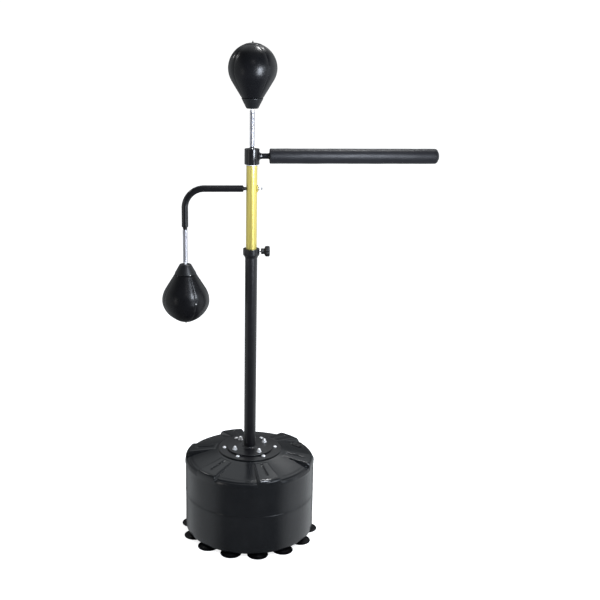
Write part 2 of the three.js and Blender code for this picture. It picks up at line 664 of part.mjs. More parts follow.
// One leather ball with its collar and stem, standing on the end of its spring at the local origin.
function makeBall(prefix) {
  const group = new THREE.Group();
  const neckTop = STEM_FLANGE + STEM_NECK_LENGTH;
  const insertTop = neckTop + BALL_INSERT;
  addPiece(`${prefix}_stem`, turned([
    [0, -SPIGOT_LENGTH],
    [SPRING_SPIGOT, -SPIGOT_LENGTH],
    [SPRING_SPIGOT, GAP],
    [SPRING_RADIUS, GAP],
    [SPRING_RADIUS, STEM_FLANGE],
    [STEM_NECK_RADIUS, STEM_FLANGE],
    [STEM_NECK_RADIUS, insertTop],
    [0, insertTop],
  ]), 'steel', group);
  const mouth = neckTop + BALL_COLLAR_HEIGHT;
  addPiece(`${prefix}_collar`, turned([
    [STEM_NECK_RADIUS + GAP, neckTop],
    [BALL_COLLAR_SMALL - 1, neckTop],
    [BALL_COLLAR_SMALL, neckTop + 1],
    [BALL_MOUTH_RADIUS, mouth - 1],
    [BALL_MOUTH_RADIUS - 1, mouth],
    [NECK_HOLE - GAP, mouth],
    [NECK_HOLE - GAP, mouth + COLLAR_SPIGOT],
    [0, mouth + COLLAR_SPIGOT],
    [0, insertTop + GAP],
    [STEM_NECK_RADIUS + GAP, insertTop + GAP],
  ], 20), 'blackPlastic', group);
  // Sphere with a tangent cone down to the mouth
  const coverStart = mouth + GAP;
  const tangentDrop = BALL_RADIUS * Math.sin(BALL_TAPER);
  const tangentRadius = BALL_RADIUS * Math.cos(BALL_TAPER);
  const coneLength = (tangentRadius - BALL_MOUTH_RADIUS) / Math.tan(BALL_TAPER);
  const centre = coverStart + coneLength + tangentDrop;
  const outline = (inset, steps) => arc(0, centre, BALL_RADIUS - inset, -BALL_TAPER, Math.PI / 2, steps);
  const coneInset = COVER_WALL / Math.cos(BALL_TAPER);
  const inner = outline(COVER_WALL, 4).reverse();
  const cover = turned([
    [NECK_HOLE, coverStart],
    [BALL_MOUTH_RADIUS, coverStart],
    ...outline(0, 6),
    ...inner,
    [BALL_MOUTH_RADIUS + COVER_LIP * Math.tan(BALL_TAPER) - coneInset, coverStart + COVER_LIP],
    [NECK_HOLE, coverStart + COVER_LIP],
  ], 20);
  const pole = centre + BALL_RADIUS;
  const nub = rod(NUB_RADIUS, pole - 1, pole + NUB_LENGTH, 10);
  addPiece(`${prefix}_cover`, shaped(cover, [nub], []), 'leather', group);
  const bladderOuter = COVER_WALL + 2 * GAP;
  const bladderInner = bladderOuter + BLADDER_WALL;
  const bladderBottom = mouth + BLADDER_START;
  const coneRadius = (z, inset) => BALL_MOUTH_RADIUS - inset / Math.cos(BALL_TAPER)
    + (z - coverStart) * Math.tan(BALL_TAPER);
  addPiece(`${prefix}_bladder`, turned([
    [BLADDER_VALVE, bladderBottom],
    [coneRadius(bladderBottom, bladderOuter), bladderBottom],
    ...outline(bladderOuter, 4),
    ...outline(bladderInner, 4).reverse(),
    [coneRadius(bladderBottom + BLADDER_WALL, bladderInner), bladderBottom + BLADDER_WALL],
    [BLADDER_VALVE, bladderBottom + BLADDER_WALL],
  ], 20), 'rubber', group);
  return group;
}

function makeTopBall() {
  const seatBottom = SLEEVE_TOP - SEAT_FOOT;
  const discTop = SLEEVE_TOP + SEAT_FOOT;
  const threadTop = SLEEVE_TOP + SEAT_BORE_DEPTH;
  addPiece('top_spring_seat', turned([
    [SPINDLE_RADIUS + GAP, seatBottom],
    [SEAT_FOOT_RADIUS, seatBottom],
    [SEAT_FOOT_RADIUS, SLEEVE_TOP + 0.4],
    [SEAT_DISC_RADIUS, SLEEVE_TOP + 0.4],
    [SEAT_DISC_RADIUS - 1, discTop],
    [SEAT_HUB_RADIUS, discTop],
    [SEAT_HUB_RADIUS, TOP_SPRING_START - GAP],
    [SPRING_SPIGOT, TOP_SPRING_START - GAP],
    [SPRING_SPIGOT, TOP_SPRING_START + SPIGOT_LENGTH],
    [0, TOP_SPRING_START + SPIGOT_LENGTH],
    [0, threadTop],
    [SPINDLE_RADIUS + GAP, threadTop],
  ]), 'blackPaint');
  const inner = SPRING_RADIUS - SPRING_WIRE;
  addPiece('top_spring', tube(inner, SPRING_RADIUS, TOP_SPRING_START, TOP_SPRING_END), 'steel');
  const ball = makeBall('top_ball');
  ball.position.z = TOP_SPRING_END;
  mast.add(ball);
}

// Path of the side arm's middle line: out from the post, round the bend and down.
class ArmPath extends THREE.Curve {
  constructor() {
    super();
    this.level = ARM_REACH - ARM_BEND - ARM_START;
    this.bend = (ARM_BEND * Math.PI) / 2;
    this.drop = ARM_Z - ARM_BEND - ARM_BOTTOM;
  }

  getPoint(t, target = new THREE.Vector3()) {
    const s = t * (this.level + this.bend + this.drop);
    if (s < this.level) return target.set(-ARM_START - s, 0, ARM_Z);
    const angle = Math.min((s - this.level) / ARM_BEND, Math.PI / 2);
    const below = Math.max(s - this.level - this.bend, 0);
    const bendX = ARM_BEND - ARM_REACH - ARM_BEND * Math.sin(angle);
    return target.set(bendX, 0, ARM_Z - ARM_BEND + ARM_BEND * Math.cos(angle) - below);
  }
}

function makeArm() {
  const section = new THREE.Shape().absarc(0, 0, ARM_RADIUS, 0, 2 * Math.PI, false);
  section.holes.push(new THREE.Path().absarc(0, 0, ARM_RADIUS - ARM_WALL, 0, 2 * Math.PI, true));
  addPiece('arm_tube', new THREE.ExtrudeGeometry(section, {
    steps: 15, curveSegments: 6, bevelEnabled: false, extrudePath: new ArmPath(),
  }), 'blackPaint');
  addPiece('arm_stud', alongX(turned([
    [0, -ARM_START - ARM_PLUG_LENGTH],
    [ARM_PLUG_RADIUS, -ARM_START - ARM_PLUG_LENGTH],
    [ARM_PLUG_RADIUS, -ARM_START + GAP],
    [ARM_RADIUS, -ARM_START + GAP],
    [ARM_RADIUS - ARM_SHOULDER, -ARM_START + ARM_SHOULDER],
    [ARM_NECK_RADIUS, -ARM_START + ARM_SHOULDER],
    [ARM_NECK_RADIUS, -UPPER_RADIUS - GAP],
    [ARM_STUD_RADIUS, -UPPER_RADIUS - GAP],
    [ARM_STUD_RADIUS, ARM_STUD_END],
    [0, ARM_STUD_END],
  ], 16), ARM_Z), 'blackPaint');
  const shell = tube(UPPER_RADIUS + GAP, SADDLE_OUTER, ARM_Z - SADDLE_HALF_HEIGHT,
    ARM_Z + SADDLE_HALF_HEIGHT, 32);
  const window = new THREE.BoxGeometry(40, 2 * SADDLE_HALF_WIDTH, 60).translate(25, 0, ARM_Z);
  const studHole = alongX(rod(ARM_STUD_RADIUS + GAP, 10, 40, 12), ARM_Z);
  const saddle = toSolid(shell).intersect(toSolid(window)).subtract(toSolid(studHole));
  addPiece('arm_saddle', toGeometry(saddle), 'goldPaint');
  const washerStart = SADDLE_OUTER + GAP;
  const washerEnd = washerStart + WASHER_THICKNESS;
  const studSpace = ARM_STUD_RADIUS + GAP;
  addPiece('arm_washer', alongX(tube(studSpace, WASHER_RADIUS, washerStart, washerEnd, 20), ARM_Z), 'steel');
  const nutStart = washerEnd + GAP;
  const hub = tube(studSpace, WING_HUB_RADIUS, nutStart, nutStart + WING_HUB_LENGTH, 20);
  const root = WING_HUB_RADIUS - 1.4;
  const wingEnd = nutStart + WING_LENGTH;
  const outline = new THREE.Shape();
  outline.moveTo(root, nutStart + 0.5);
  outline.lineTo(WING_HUB_RADIUS + 1, nutStart + 2);
  outline.lineTo(WING_SPAN, nutStart + WING_HUB_LENGTH);
  outline.quadraticCurveTo(WING_SPAN, wingEnd, WING_SPAN - 4, wingEnd - 1.4);
  outline.lineTo(root, nutStart + WING_HUB_LENGTH - 0.5);
  const wings = [1, -1].map((side) => new THREE.ExtrudeGeometry(outline, {
    depth: WING_THICKNESS, bevelEnabled: false, curveSegments: 3,
  }).rotateX(Math.PI / 2).translate(0, WING_THICKNESS / 2, 0).rotateZ(side > 0 ? 0 : Math.PI));
  addPiece('arm_wing_nut', alongX(shaped(hub, wings, []), ARM_Z), 'steel');
}

function makeSideBall() {
  const side = new THREE.Group();
  side.position.x = -ARM_REACH;
  mast.add(side);
  addPiece('arm_end_plug', turned([
    [0, SIDE_SPRING_START - SPIGOT_LENGTH],
    [SPRING_SPIGOT, SIDE_SPRING_START - SPIGOT_LENGTH],
    [SPRING_SPIGOT, SIDE_SPRING_START + GAP],
    [SPRING_RADIUS - 1, SIDE_SPRING_START + GAP],
    [SPRING_RADIUS - 1, ARM_BOTTOM - ARM_SHOULDER - 1],
    [ARM_RADIUS, ARM_BOTTOM - ARM_SHOULDER],
    [ARM_RADIUS, ARM_BOTTOM - GAP],
    [ARM_PLUG_RADIUS, ARM_BOTTOM - GAP],
    [ARM_PLUG_RADIUS, ARM_BOTTOM + ARM_PLUG_LENGTH],
    [0, ARM_BOTTOM + ARM_PLUG_LENGTH],
  ]), 'blackPlastic', side);
  const inner = SPRING_RADIUS - SPRING_WIRE;
  addPiece('side_spring', tube(inner, SPRING_RADIUS, SIDE_SPRING_END, SIDE_SPRING_START), 'steel', side);
  const ball = makeBall('side_ball');
  ball.rotation.x = Math.PI;
  ball.position.z = SIDE_SPRING_END;
  side.add(ball);
}

makeCups();
makeTank();
makeFillCap();
makePlates();
makeLowerPost();
makeClamp();
makeUpperPost();
makeSpinner();
makeTopBall();
makeArm();
makeSideBall();

export default object;
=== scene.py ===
from math import asin, atan2, cos, degrees, exp, hypot, pi, radians as rad, sin, sqrt, tan

import bmesh
import bpy
from mathutils import Matrix, Vector, kdtree, noise


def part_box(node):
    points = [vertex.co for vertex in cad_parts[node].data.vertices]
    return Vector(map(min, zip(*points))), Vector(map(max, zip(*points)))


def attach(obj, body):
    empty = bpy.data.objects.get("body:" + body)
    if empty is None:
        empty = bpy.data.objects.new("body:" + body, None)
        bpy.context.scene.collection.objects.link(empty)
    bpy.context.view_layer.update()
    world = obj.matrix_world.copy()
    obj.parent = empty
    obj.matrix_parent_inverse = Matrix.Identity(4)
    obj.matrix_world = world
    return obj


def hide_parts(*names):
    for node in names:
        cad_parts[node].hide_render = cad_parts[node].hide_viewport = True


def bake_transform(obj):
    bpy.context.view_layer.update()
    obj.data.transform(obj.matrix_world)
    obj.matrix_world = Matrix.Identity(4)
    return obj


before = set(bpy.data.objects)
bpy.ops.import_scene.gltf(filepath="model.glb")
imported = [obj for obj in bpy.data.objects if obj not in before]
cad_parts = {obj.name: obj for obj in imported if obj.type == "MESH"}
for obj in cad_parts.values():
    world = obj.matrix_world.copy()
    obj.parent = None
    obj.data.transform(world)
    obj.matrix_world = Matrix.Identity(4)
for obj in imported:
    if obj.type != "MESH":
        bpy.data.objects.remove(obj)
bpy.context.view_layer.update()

# Free-standing boxing trainer. Sizes are millimetres, and MM turns them into the frame's metres.
MM = 0.001
TAU = 2 * pi
TINY = 1e-6
SHARP = 38


def low(node):
    return Vector(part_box(node)[0]) / MM


def high(node):
    return Vector(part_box(node)[1]) / MM


def middle(node):
    return (low(node) + high(node)) / 2


def heights(node):
    """A node's lowest and highest level."""
    return low(node).z, high(node).z


def reach(node):
    """Where a node starts and ends along x, from the post's axis."""
    return low(node).x - MAST_X, high(node).x - MAST_X


def half_width(node):
    return (high(node).x - low(node).x) / 2


def foot_of(node):
    """The point at floor level on a node's upright axis."""
    centre = middle(node)
    return centre.x, centre.y, 0


# ---- places, from the frame
MAST_X = middle("upper_tube").x
MAST_FOOT = (MAST_X, 0, 0)
BAR_Z = middle("bar_foam").z
ARM_Z = middle("arm_saddle").z
CLAMP_Z = middle("clamp_knob").z
SIDE_X = middle("side_spring").x
FILL_FOOT = foot_of("fill_cap")
GAP = 0.3  # between neighbours


# ---- mesh tools
def smoothstep(a, b, x):
    t = min(max((x - a) / (b - a), 0), 1)
    return t * t * (3 - 2 * t)


def arc(r, z, radius, start, end, steps):
    """Points (r, z) along an arc, angles in degrees."""
    angles = [rad(start + (end - start) * i / steps) for i in range(steps + 1)]
    return [(r + radius * cos(a), z + radius * sin(a)) for a in angles]


def filleted(corners, steps=4):
    """Rounds the corners of an open outline. A corner is (r, z) or (r, z, fillet radius)."""
    points = []
    for i, corner in enumerate(corners):
        here = Vector(corner[:2])
        if len(corner) < 3 or i in (0, len(corners) - 1):
            points.append(tuple(here))
            continue
        before = Vector(corners[i - 1][:2]) - here
        after = Vector(corners[i + 1][:2]) - here
        half = before.angle(after) / 2
        reach = min(corner[2] / tan(half), 0.48 * before.length, 0.48 * after.length)
        start = here + before.normalized() * reach
        end = here + after.normalized() * reach
        for k in range(steps + 1):
            t = k / steps
            points.append(tuple((1 - t) ** 2 * start + 2 * t * (1 - t) * here + t * t * end))
    return points


def add_object(name, data):
    obj = bpy.data.objects.new(name, data)
    bpy.context.scene.collection.objects.link(obj)
    return obj


def shade(mesh, sharp):
    mesh.polygons.foreach_set("use_smooth", [True] * len(mesh.polygons))
    mesh.set_sharp_from_angle(angle=rad(sharp))


def finish_mesh(name, bm, sharp=SHARP):
    bmesh.ops.remove_doubles(bm, verts=bm.verts, dist=1e-7)
    bmesh.ops.recalc_face_normals(bm, faces=bm.faces)
    mesh = bpy.data.meshes.new(name)
    bm.to_mesh(mesh)
    bm.free()
    shade(mesh, sharp)
    return add_object(name, mesh)


AXES = {
    "+Z": Matrix.Identity(3),
    "-Z": Matrix.Rotation(pi, 3, "X"),
    "+X": Matrix.Rotation(pi / 2, 3, "Y"),
}


def turned(name, profile, at=(0, 0, 0), axis="+Z", segments=64, closed=False, form=None, sharp=SHARP):
    """A turned piece. profile is (radius, height) along the axis from the point `at`; it runs from
    axis to axis, or is a loop when closed. form(r, h, angle) may change both for each point."""
    bm = bmesh.new()
    turn = AXES[axis]
    origin = Vector(at)
    rings = []
    for r, h in profile:
        if r < TINY:
            rings.append([bm.verts.new((turn @ Vector((0, 0, h)) + origin) * MM)])
            continue
        ring = []
        for i in range(segments):
            angle = TAU * i / segments
            rr, hh = form(r, h, angle) if form else (r, h)
            ring.append(bm.verts.new((turn @ polar(rr, angle, hh) + origin) * MM))
        rings.append(ring)
    skin(bm, rings, closed)
    return finish_mesh(name, bm, sharp)


def polar(r, angle, h=0.0):
    return Vector((r * cos(angle), r * sin(angle), h))


def skin(bm, rings, closed=False):
    pairs = list(zip(rings, rings[1:]))
    if closed:
        pairs.append((rings[-1], rings[0]))
    for a, b in pairs:
        n = max(len(a), len(b))
        if n == 1:
            continue
        for i in range(n):
            j = (i + 1) % n
            corners = [a[i % len(a)], a[j % len(a)], b[j % len(b)], b[i % len(b)]]
            bm.faces.new(list(dict.fromkeys(corners)))


def loop(corners, steps=4):
    """Fillets every corner of a closed outline."""
    n = len(corners)
    ring = [corners[-1], *corners, corners[0]]
    points = []
    for i in range(1, n + 1):
        points += filleted(ring[i - 1:i + 2], steps)[1:-1]
    return points


def hoop(centre, across, up, radius, sides):
    """Points round a circle that lies along two directions."""
    turns = [TAU * k / sides for k in range(sides)]
    return [centre + (across * cos(a) + up * sin(a)) * radius for a in turns]


def swept(name, path, radius, sides):
    """A round bar along a list of points in millimetres, with flat ends."""
    bm = bmesh.new()
    points = [Vector(p) for p in path]
    behind, ahead = [points[0], *points[:-1]], [*points[1:], points[-1]]
    tangents = [(b - a).normalized() for a, b in zip(behind, ahead)]
    side = tangents[0].orthogonal().normalized()
    rings = []
    for point, tangent in zip(points, tangents):
        side = (side - tangent * side.dot(tangent)).normalized()
        ring = hoop(point, side, tangent.cross(side), radius, sides)
        rings.append([bm.verts.new(co * MM) for co in ring])
    skin(bm, rings)
    bm.faces.new(rings[0])
    bm.faces.new(rings[-1])
    return finish_mesh(name, bm, 50)


def prism(name, outline, depth, place, bevel=0.0):
    """A flat shape [(u, v)] given a thickness, moved by the matrix `place`, with softened edges."""
    bm = bmesh.new()
    front = [bm.verts.new(place @ Vector((u, v, -depth / 2))) for u, v in outline]
    back = [bm.verts.new(place @ Vector((u, v, depth / 2))) for u, v in outline]
    skin(bm, [front, back])
    bm.faces.new(front)
    bm.faces.new(list(reversed(back)))
    bmesh.ops.recalc_face_normals(bm, faces=bm.faces)
    if bevel:
        edges = [e for e in bm.edges if e.calc_face_angle(0) > rad(30)]
        bmesh.ops.bevel(bm, geom=edges, offset=bevel, segments=3, profile=0.5, affect="EDGES")
    bmesh.ops.scale(bm, vec=(MM, MM, MM), verts=bm.verts)
    return finish_mesh(name, bm)


def combine(obj, other, operation):
    """Adds the other piece to this one (UNION) or takes it away (DIFFERENCE) for good."""
    modifier = obj.modifiers.new("combine", "BOOLEAN")
    modifier.operation = operation
    modifier.solver = "EXACT"
    modifier.object = other
    bake(obj)
    bpy.data.objects.remove(other)


def bake(obj):
    """Applies the piece's modifiers to its mesh."""
    depsgraph = bpy.context.evaluated_depsgraph_get()
    depsgraph.update()
    mesh = bpy.data.meshes.new_from_object(obj.evaluated_get(depsgraph))
    obj.modifiers.clear()
    obj.data = mesh
    shade(mesh, SHARP)


# ---- materials
def make_node(tree, kind, values, links, **settings):
    """A shader node: its settings, the values of its sockets, and what is linked to them."""
    node = tree.nodes.new("ShaderNode" + kind)
    for key, value in settings.items():
        setattr(node, key, value)
    for socket, value in values.items():
        node.inputs[socket].default_value = value
    for socket, source in links.items():
        tree.links.new(source, node.inputs[socket])
    return node


MATERIALS = {}


class Paint:
    """Node-based material with its texture built step by step, kept in MATERIALS by its name. A
    texture is (scale, detail, roughness) of a noise, and may have a stretch as its fourth value."""

    def __init__(self, name, color, roughness, metallic=0.0, **sockets):
        MATERIALS[name] = bpy.data.materials.new(name)
        MATERIALS[name].use_nodes = True
        self.tree = MATERIALS[name].node_tree
        self.shader = self.tree.nodes["Principled BSDF"]
        self.color = (*color, 1)
        sockets.update(Base_Color=self.color, Roughness=roughness, Metallic=metallic)
        for key, value in sockets.items():
            self.shader.inputs[key.replace("_", " ")].default_value = value
        self.coords = self.node("TexCoord", {}, {}).outputs["Object"]
        self.mixed = None
        self.normal = None

    def node(self, kind, values, links, **settings):
        return make_node(self.tree, kind, values, links, **settings)

    def connect(self, source, socket):
        self.tree.links.new(source, self.shader.inputs[socket])

    def stretched(self, scale):
        return self.node("Mapping", {"Scale": scale}, {"Vector": self.coords}).outputs["Vector"]

    def noise(self, scale, detail, roughness, stretch=(1, 1, 1)):
        values = {"Scale": scale, "Detail": detail, "Roughness": roughness}
        return self.node("TexNoise", values, {"Vector": self.stretched(stretch)}).outputs["Fac"]

    def cells(self, scale, feature="F1"):
        links = {"Vector": self.coords}
        return self.node("TexVoronoi", {"Scale": scale}, links, feature=feature).outputs["Distance"]

    def ramp(self, value, start, end, least=0.0, most=1.0):
        values = {"From Min": start, "From Max": end, "To Min": least, "To Max": most}
        return self.node("MapRange", values, {"Value": value}).outputs["Result"]

    def tint(self, value, other):
        """Mixes the colour so far towards another one where value is high."""
        links = {"Factor": value}
        if self.mixed is not None:
            links["A"] = self.mixed
        values = {"A": self.color, "B": (*other, 1)}
        self.mixed = self.node("Mix", values, links, data_type="RGBA").outputs["Result"]
        self.connect(self.mixed, "Base Color")

    def patches(self, texture, start, end, most, other):
        """Another colour in patches, from nothing where the texture is at start to `most` at end."""
        self.tint(self.ramp(self.noise(*texture), start, end, 0, most), other)

    def rough(self, texture, least, most):
        self.connect(self.ramp(self.noise(*texture), 0.3, 0.7, least, most), "Roughness")

    def bump(self, value, distance, strength):
        links = {"Height": value}
        if self.normal is not None:
            links["Normal"] = self.normal
        values = {"Distance": distance * MM, "Strength": strength}
        self.normal = self.node("Bump", values, links).outputs["Normal"]
        self.connect(self.normal, "Normal")

    def grain(self, texture, distance, strength):
        self.bump(self.noise(*texture), distance, strength)


def scaled(color, factor, lift=0.0):
    """A lighter or darker shade of a colour."""
    return tuple(c * factor + lift for c in color)


def moulded_tank():
    """Blow-moulded polyethylene: faint waves, fine grain and dusty scuffs."""
    paint = Paint("tank_plastic", (0.0055, 0.0063, 0.0078), 0.19, Specular_IOR_Level=0.42)
    paint.patches((9, 8, 0.62), 0.45, 0.75, 0.6, (0.0105, 0.0115, 0.013))
    paint.patches((60, 6, 0.6, (1, 1, 0.15)), 0.56, 0.8, 0.3, (0.02, 0.021, 0.023))
    paint.rough((14, 6, 0.6), 0.14, 0.24)
    paint.grain((7, 2, 0.4), 0.9, 0.5)
    paint.grain((900, 3, 0.6), 0.05, 0.6)


def powder_paint(name, color, roughness, grain=0.02):
    """Black paint with a light orange peel."""
    paint = Paint(name, color, roughness, Specular_IOR_Level=0.35, Coat_Weight=0.15, Coat_Roughness=0.12)
    paint.patches((30, 7, 0.6), 0.5, 0.8, 0.5, scaled(color, 1.9, 0.002))
    paint.rough((45, 5, 0.6), roughness - 0.05, roughness + 0.08)
    paint.grain((420, 3, 0.5), grain, 0.6)


def gold_paint():
    """Champagne-gold lacquer over steel tube."""
    paint = Paint("gold_paint", (0.53, 0.44, 0.102), 0.26, 0.6, Coat_Weight=0.5, Coat_Roughness=0.1)
    paint.patches((14, 5, 0.6, (1, 1, 0.1)), 0.4, 0.75, 0.5, (0.66, 0.56, 0.15))
    paint.patches((120, 4, 0.6), 0.62, 0.8, 0.3, (0.46, 0.37, 0.08))
    paint.rough((60, 5, 0.6, (1, 1, 0.08)), 0.25, 0.36)
    paint.grain((500, 3, 0.5), 0.012, 0.5)


def metal(name, color, roughness, metallic=1.0):
    """Plated steel, faintly clouded."""
    paint = Paint(name, color, roughness, metallic)
    paint.patches((90, 6, 0.6), 0.45, 0.8, 0.6, scaled(color, 0.72))
    paint.rough((160, 5, 0.6), roughness - 0.05, roughness + 0.07)
    paint.grain((1500, 3, 0.6), 0.006, 0.4)


def plastic(name, color, roughness, grain=260):
    """Moulded plastic with a pitted skin."""
    paint = Paint(name, color, roughness, Specular_IOR_Level=0.35)
    paint.patches((25, 6, 0.6), 0.45, 0.8, 0.6, scaled(color, 1.7, 0.002))
    paint.rough((40, 5, 0.6), roughness - 0.06, roughness + 0.08)
    paint.bump(paint.cells(grain * 4), 0.025, 0.5)


def rubber(name, color, roughness, gloss=0.3):
    """Dusty matt rubber."""
    paint = Paint(name, color, roughness, Specular_IOR_Level=gloss)
    paint.patches((18, 7, 0.65), 0.48, 0.8, 0.6, scaled(color, 2, 0.002))
    paint.rough((55, 5, 0.6), roughness - 0.07, roughness + 0.09)
    paint.grain((300, 4, 0.6), 0.05, 0.5)


def leather():
    """Glossy black leather with a fine pebbled grain, creases and a lacquered top coat."""
    paint = Paint("ball_leather", (0.003, 0.0032, 0.0041), 0.3, Specular_IOR_Level=0.21,
                  Coat_Weight=0.06, Coat_Roughness=0.2)
    paint.patches((22, 6, 0.6), 0.45, 0.8, 0.7, (0.0055, 0.0055, 0.0068))
    paint.patches((160, 5, 0.6), 0.6, 0.85, 0.4, (0.009, 0.009, 0.011))
    paint.rough((70, 5, 0.6), 0.25, 0.35)
    paint.grain((26, 4, 0.5, (1, 1, 0.6)), 0.2, 0.25)
    paint.bump(paint.cells(620, "SMOOTH_F1"), 0.045, 0.45)
    paint.grain((1800, 3, 0.5), 0.012, 0.4)


def foam_skin():
    """Nitrile foam: matt skin with fine open pores, painted darker inside as painted shade in the pits, and
    soft dents.
    """
    paint = Paint("bar_foam", (0.0075, 0.0077, 0.0095), 0.42, Specular_IOR_Level=0.2,
                  Sheen_Weight=0.04, Sheen_Roughness=0.5)
    paint.patches((35, 6, 0.6), 0.42, 0.8, 0.7, (0.0115, 0.0115, 0.0135))
    pores = paint.cells(900)
    # Painted shade: the same pore cells that sink the pits darken the colour inside them.
    paint.tint(paint.ramp(pores, 0.0, 0.35, 0.6, 0.0), (0.003, 0.003, 0.004))
    paint.rough((80, 5, 0.6), 0.38, 0.48)
    paint.grain((20, 3, 0.5), 0.4, 0.4)
    paint.bump(paint.ramp(pores, 0.0, 0.4), 0.1, 0.6)


moulded_tank()
powder_paint("black_paint", (0.0055, 0.0055, 0.0068), 0.32)
powder_paint("black_gloss_paint", (0.0042, 0.0042, 0.0052), 0.15, 0.004)
gold_paint()
metal("bright_steel", (0.93, 0.93, 0.94), 0.32, 0.65)
metal("spring_chrome", (0.66, 0.66, 0.7), 0.4)
plastic("black_plastic", (0.005, 0.005, 0.0058), 0.38)
plastic("collar_plastic", (0.0045, 0.005, 0.006), 0.38, 160)
plastic("nylon", (0.62, 0.6, 0.52), 0.4)
rubber("seal_rubber", (0.006, 0.006, 0.006), 0.62)
rubber("cup_rubber", (0.0025, 0.0025, 0.003), 0.34, 0.12)
rubber("bladder_rubber", (0.02, 0.016, 0.014), 0.6)
leather()
foam_skin()


def piece(obj, body, slot, *nodes):
    """Gives a piece its material and its body, and hides the CAD nodes it stands for."""
    obj.data.materials.clear()
    obj.data.materials.append(MATERIALS[slot])
    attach(obj, body)
    if nodes:
        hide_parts(*nodes)
    return obj


def part(name, profile, body, slot, *nodes, at=MAST_FOOT, **how):
    """A turned piece, about the post's axis unless it is told another place."""
    return piece(turned(name, profile, at, **how), body, slot, *nodes)


# ---- drum base
TANK_RADIUS = 248
TANK_BOTTOM = low("base_tank").z
RIM_Z = 295
BOSS_Z = low("base_plate").z - GAP
BOSS_RADIUS = 122
LIP_BOTTOM = 283.5
LIP_RADIUS = half_width("base_tank")
LIP_INNER = 241.2
LIP_GROOVE = 240
RIB_COUNT = 6
RIB_PITCH = 60  # degrees from one rib to the next
RIB_FIRST = -74.5
RIB_HALF = 10
RIB_SOFT = 5
RIB_ROUND = 14
RIB_INNER = 134
RIB_OUTER = 248.6
RIB_TOP = 311
RIB_INNER_RISE = 1.6
GROOVE_DEPTH = 4.4
GROOVE_INNER = 138
GROOVE_OUTER = 217
SEAT_Z = low("fill_cap_gasket").z - GAP
SEAT_RADIUS = 23.6
WAVE_SCALE = 0.014
WAVE_HEIGHT = 0.5
CUP_COUNT = 14
SCREW_COUNT = 6
NUT_COUNT = 4


def cone_height(r):
    return RIM_Z + (TANK_RADIUS - r) * (BOSS_Z - RIM_Z) / (TANK_RADIUS - BOSS_RADIUS)


def bead_groove(r):
    """Height of the top between the ribs, with the groove inside the lip."""
    return cone_height(r) - 4 * (1 - smoothstep(1.5, 5.5, abs(r - LIP_GROOVE)))


def rib_height(r):
    """Height along the middle of a rib, with its rounded outer end."""
    top = cone_height(RIB_INNER) + RIB_INNER_RISE
    height = RIB_TOP + (LIP_INNER - r) * (top - RIB_TOP) / (LIP_INNER - RIB_INNER)
    past = r - RIB_OUTER + RIB_ROUND
    if past > 0:
        height -= RIB_ROUND - sqrt(RIB_ROUND ** 2 - past ** 2)
    return cone_height(r) + (height - cone_height(r)) * smoothstep(RIB_INNER - 4, RIB_INNER + 4, r)


def tank_profiles():
    """Two outlines with the same points: between the ribs, with the lip, and along a rib."""
    r = TANK_RADIUS
    under = [(0, 16), (90, 16), (196, 16), (199, 15), (203, 12), (207, TANK_BOTTOM), (236, TANK_BOTTOM)]
    under += arc(r - 10, TANK_BOTTOM + 10, 10, -90, 0, 7)[1:]
    wall = [(r, z) for z in (40, 70, 100, 130, 155, 162.6)]
    wall += [(r - 0.4, 163.4), (r - 1.5, 164.3), (r - 1.5, 165.3), (r + 0.1, 166.1), (r + 0.6, 167)]
    wall += [(r + 0.3, 168.5), (r, 171), (r, 190), (r, 215), (r, 240), (r, 262), (r, 274)]
    bead = [(1, -0.2), (0.2, 0.4), (0, 1.3), (0.6, 3.1), (1.4, 5), (2.4, 7), (3.4, 9), (4.3, 10.6),
            (5.2, 11.8), (6.2, 12), (7, 10.8), (7.8, 9.6)]
    lip = [(r, LIP_BOTTOM - 3), (r + 0.3, LIP_BOTTOM - 0.3)]
    lip += [(LIP_RADIUS - inwards, LIP_BOTTOM + up) for inwards, up in bead]
    lip += [(LIP_INNER, bead_groove(LIP_INNER))]
    rib, top = RIB_OUTER, RIB_TOP
    end = [(r, LIP_BOTTOM - 3), (rib - 0.2, LIP_BOTTOM - 0.3), (rib, top - 20), (rib, top - 15)]
    end += arc(rib - RIB_ROUND, top - RIB_ROUND, RIB_ROUND, 0, 59, 9)
    end += [(LIP_INNER, rib_height(LIP_INNER))]
    radii = [LIP_INNER - 2.6 * i for i in range(1, 22)]
    radii += [radii[-1] - 3.6 * i for i in range(1, 13)]
    radii += [RIB_INNER + d for d in (6, 4, 2.6, 1.3, 0, -1.3, -2.6, -4)] + [126]
    radii = sorted(set(x for x in radii if x > 125), reverse=True)
    boss = [(BOSS_RADIUS + 1, BOSS_Z - 0.4), (BOSS_RADIUS - 1, BOSS_Z), (80, BOSS_Z), (0, BOSS_Z)]
    cone = [(x, bead_groove(x) - 0.7 * smoothstep(221.5, 224.5, x)) for x in radii]
    between = under + wall + lip + cone + boss
    along = under + wall + end + [(x, rib_height(x)) for x in radii] + boss
    return between, along


def tank_angles():
    """Every degree and a half, and closer at the ribs' sides and grooves and at the filler."""
    special = []
    for k in range(RIB_COUNT):
        centre = RIB_FIRST + RIB_PITCH * k
        for edge in (-RIB_HALF, RIB_HALF):
            special += [centre + edge + 0.3 * d for d in range(-8, 9)]
        special += [centre + d for d in (-2.6, -2, -1.5, -1.1, -0.6, 0, 0.6, 1.1, 1.5, 2, 2.6)]
    filler = degrees(atan2(FILL_FOOT[1], FILL_FOOT[0] - MAST_X))
    special += [filler + 0.5 * d for d in range(-17, 18)]
    special = [a % 360 for a in special]
    plain = [1.5 * i for i in range(240)]
    near = [a for a in plain if all(min(abs(a - s), 360 - abs(a - s)) > 0.5 for s in special)]
    return sorted(special + near)


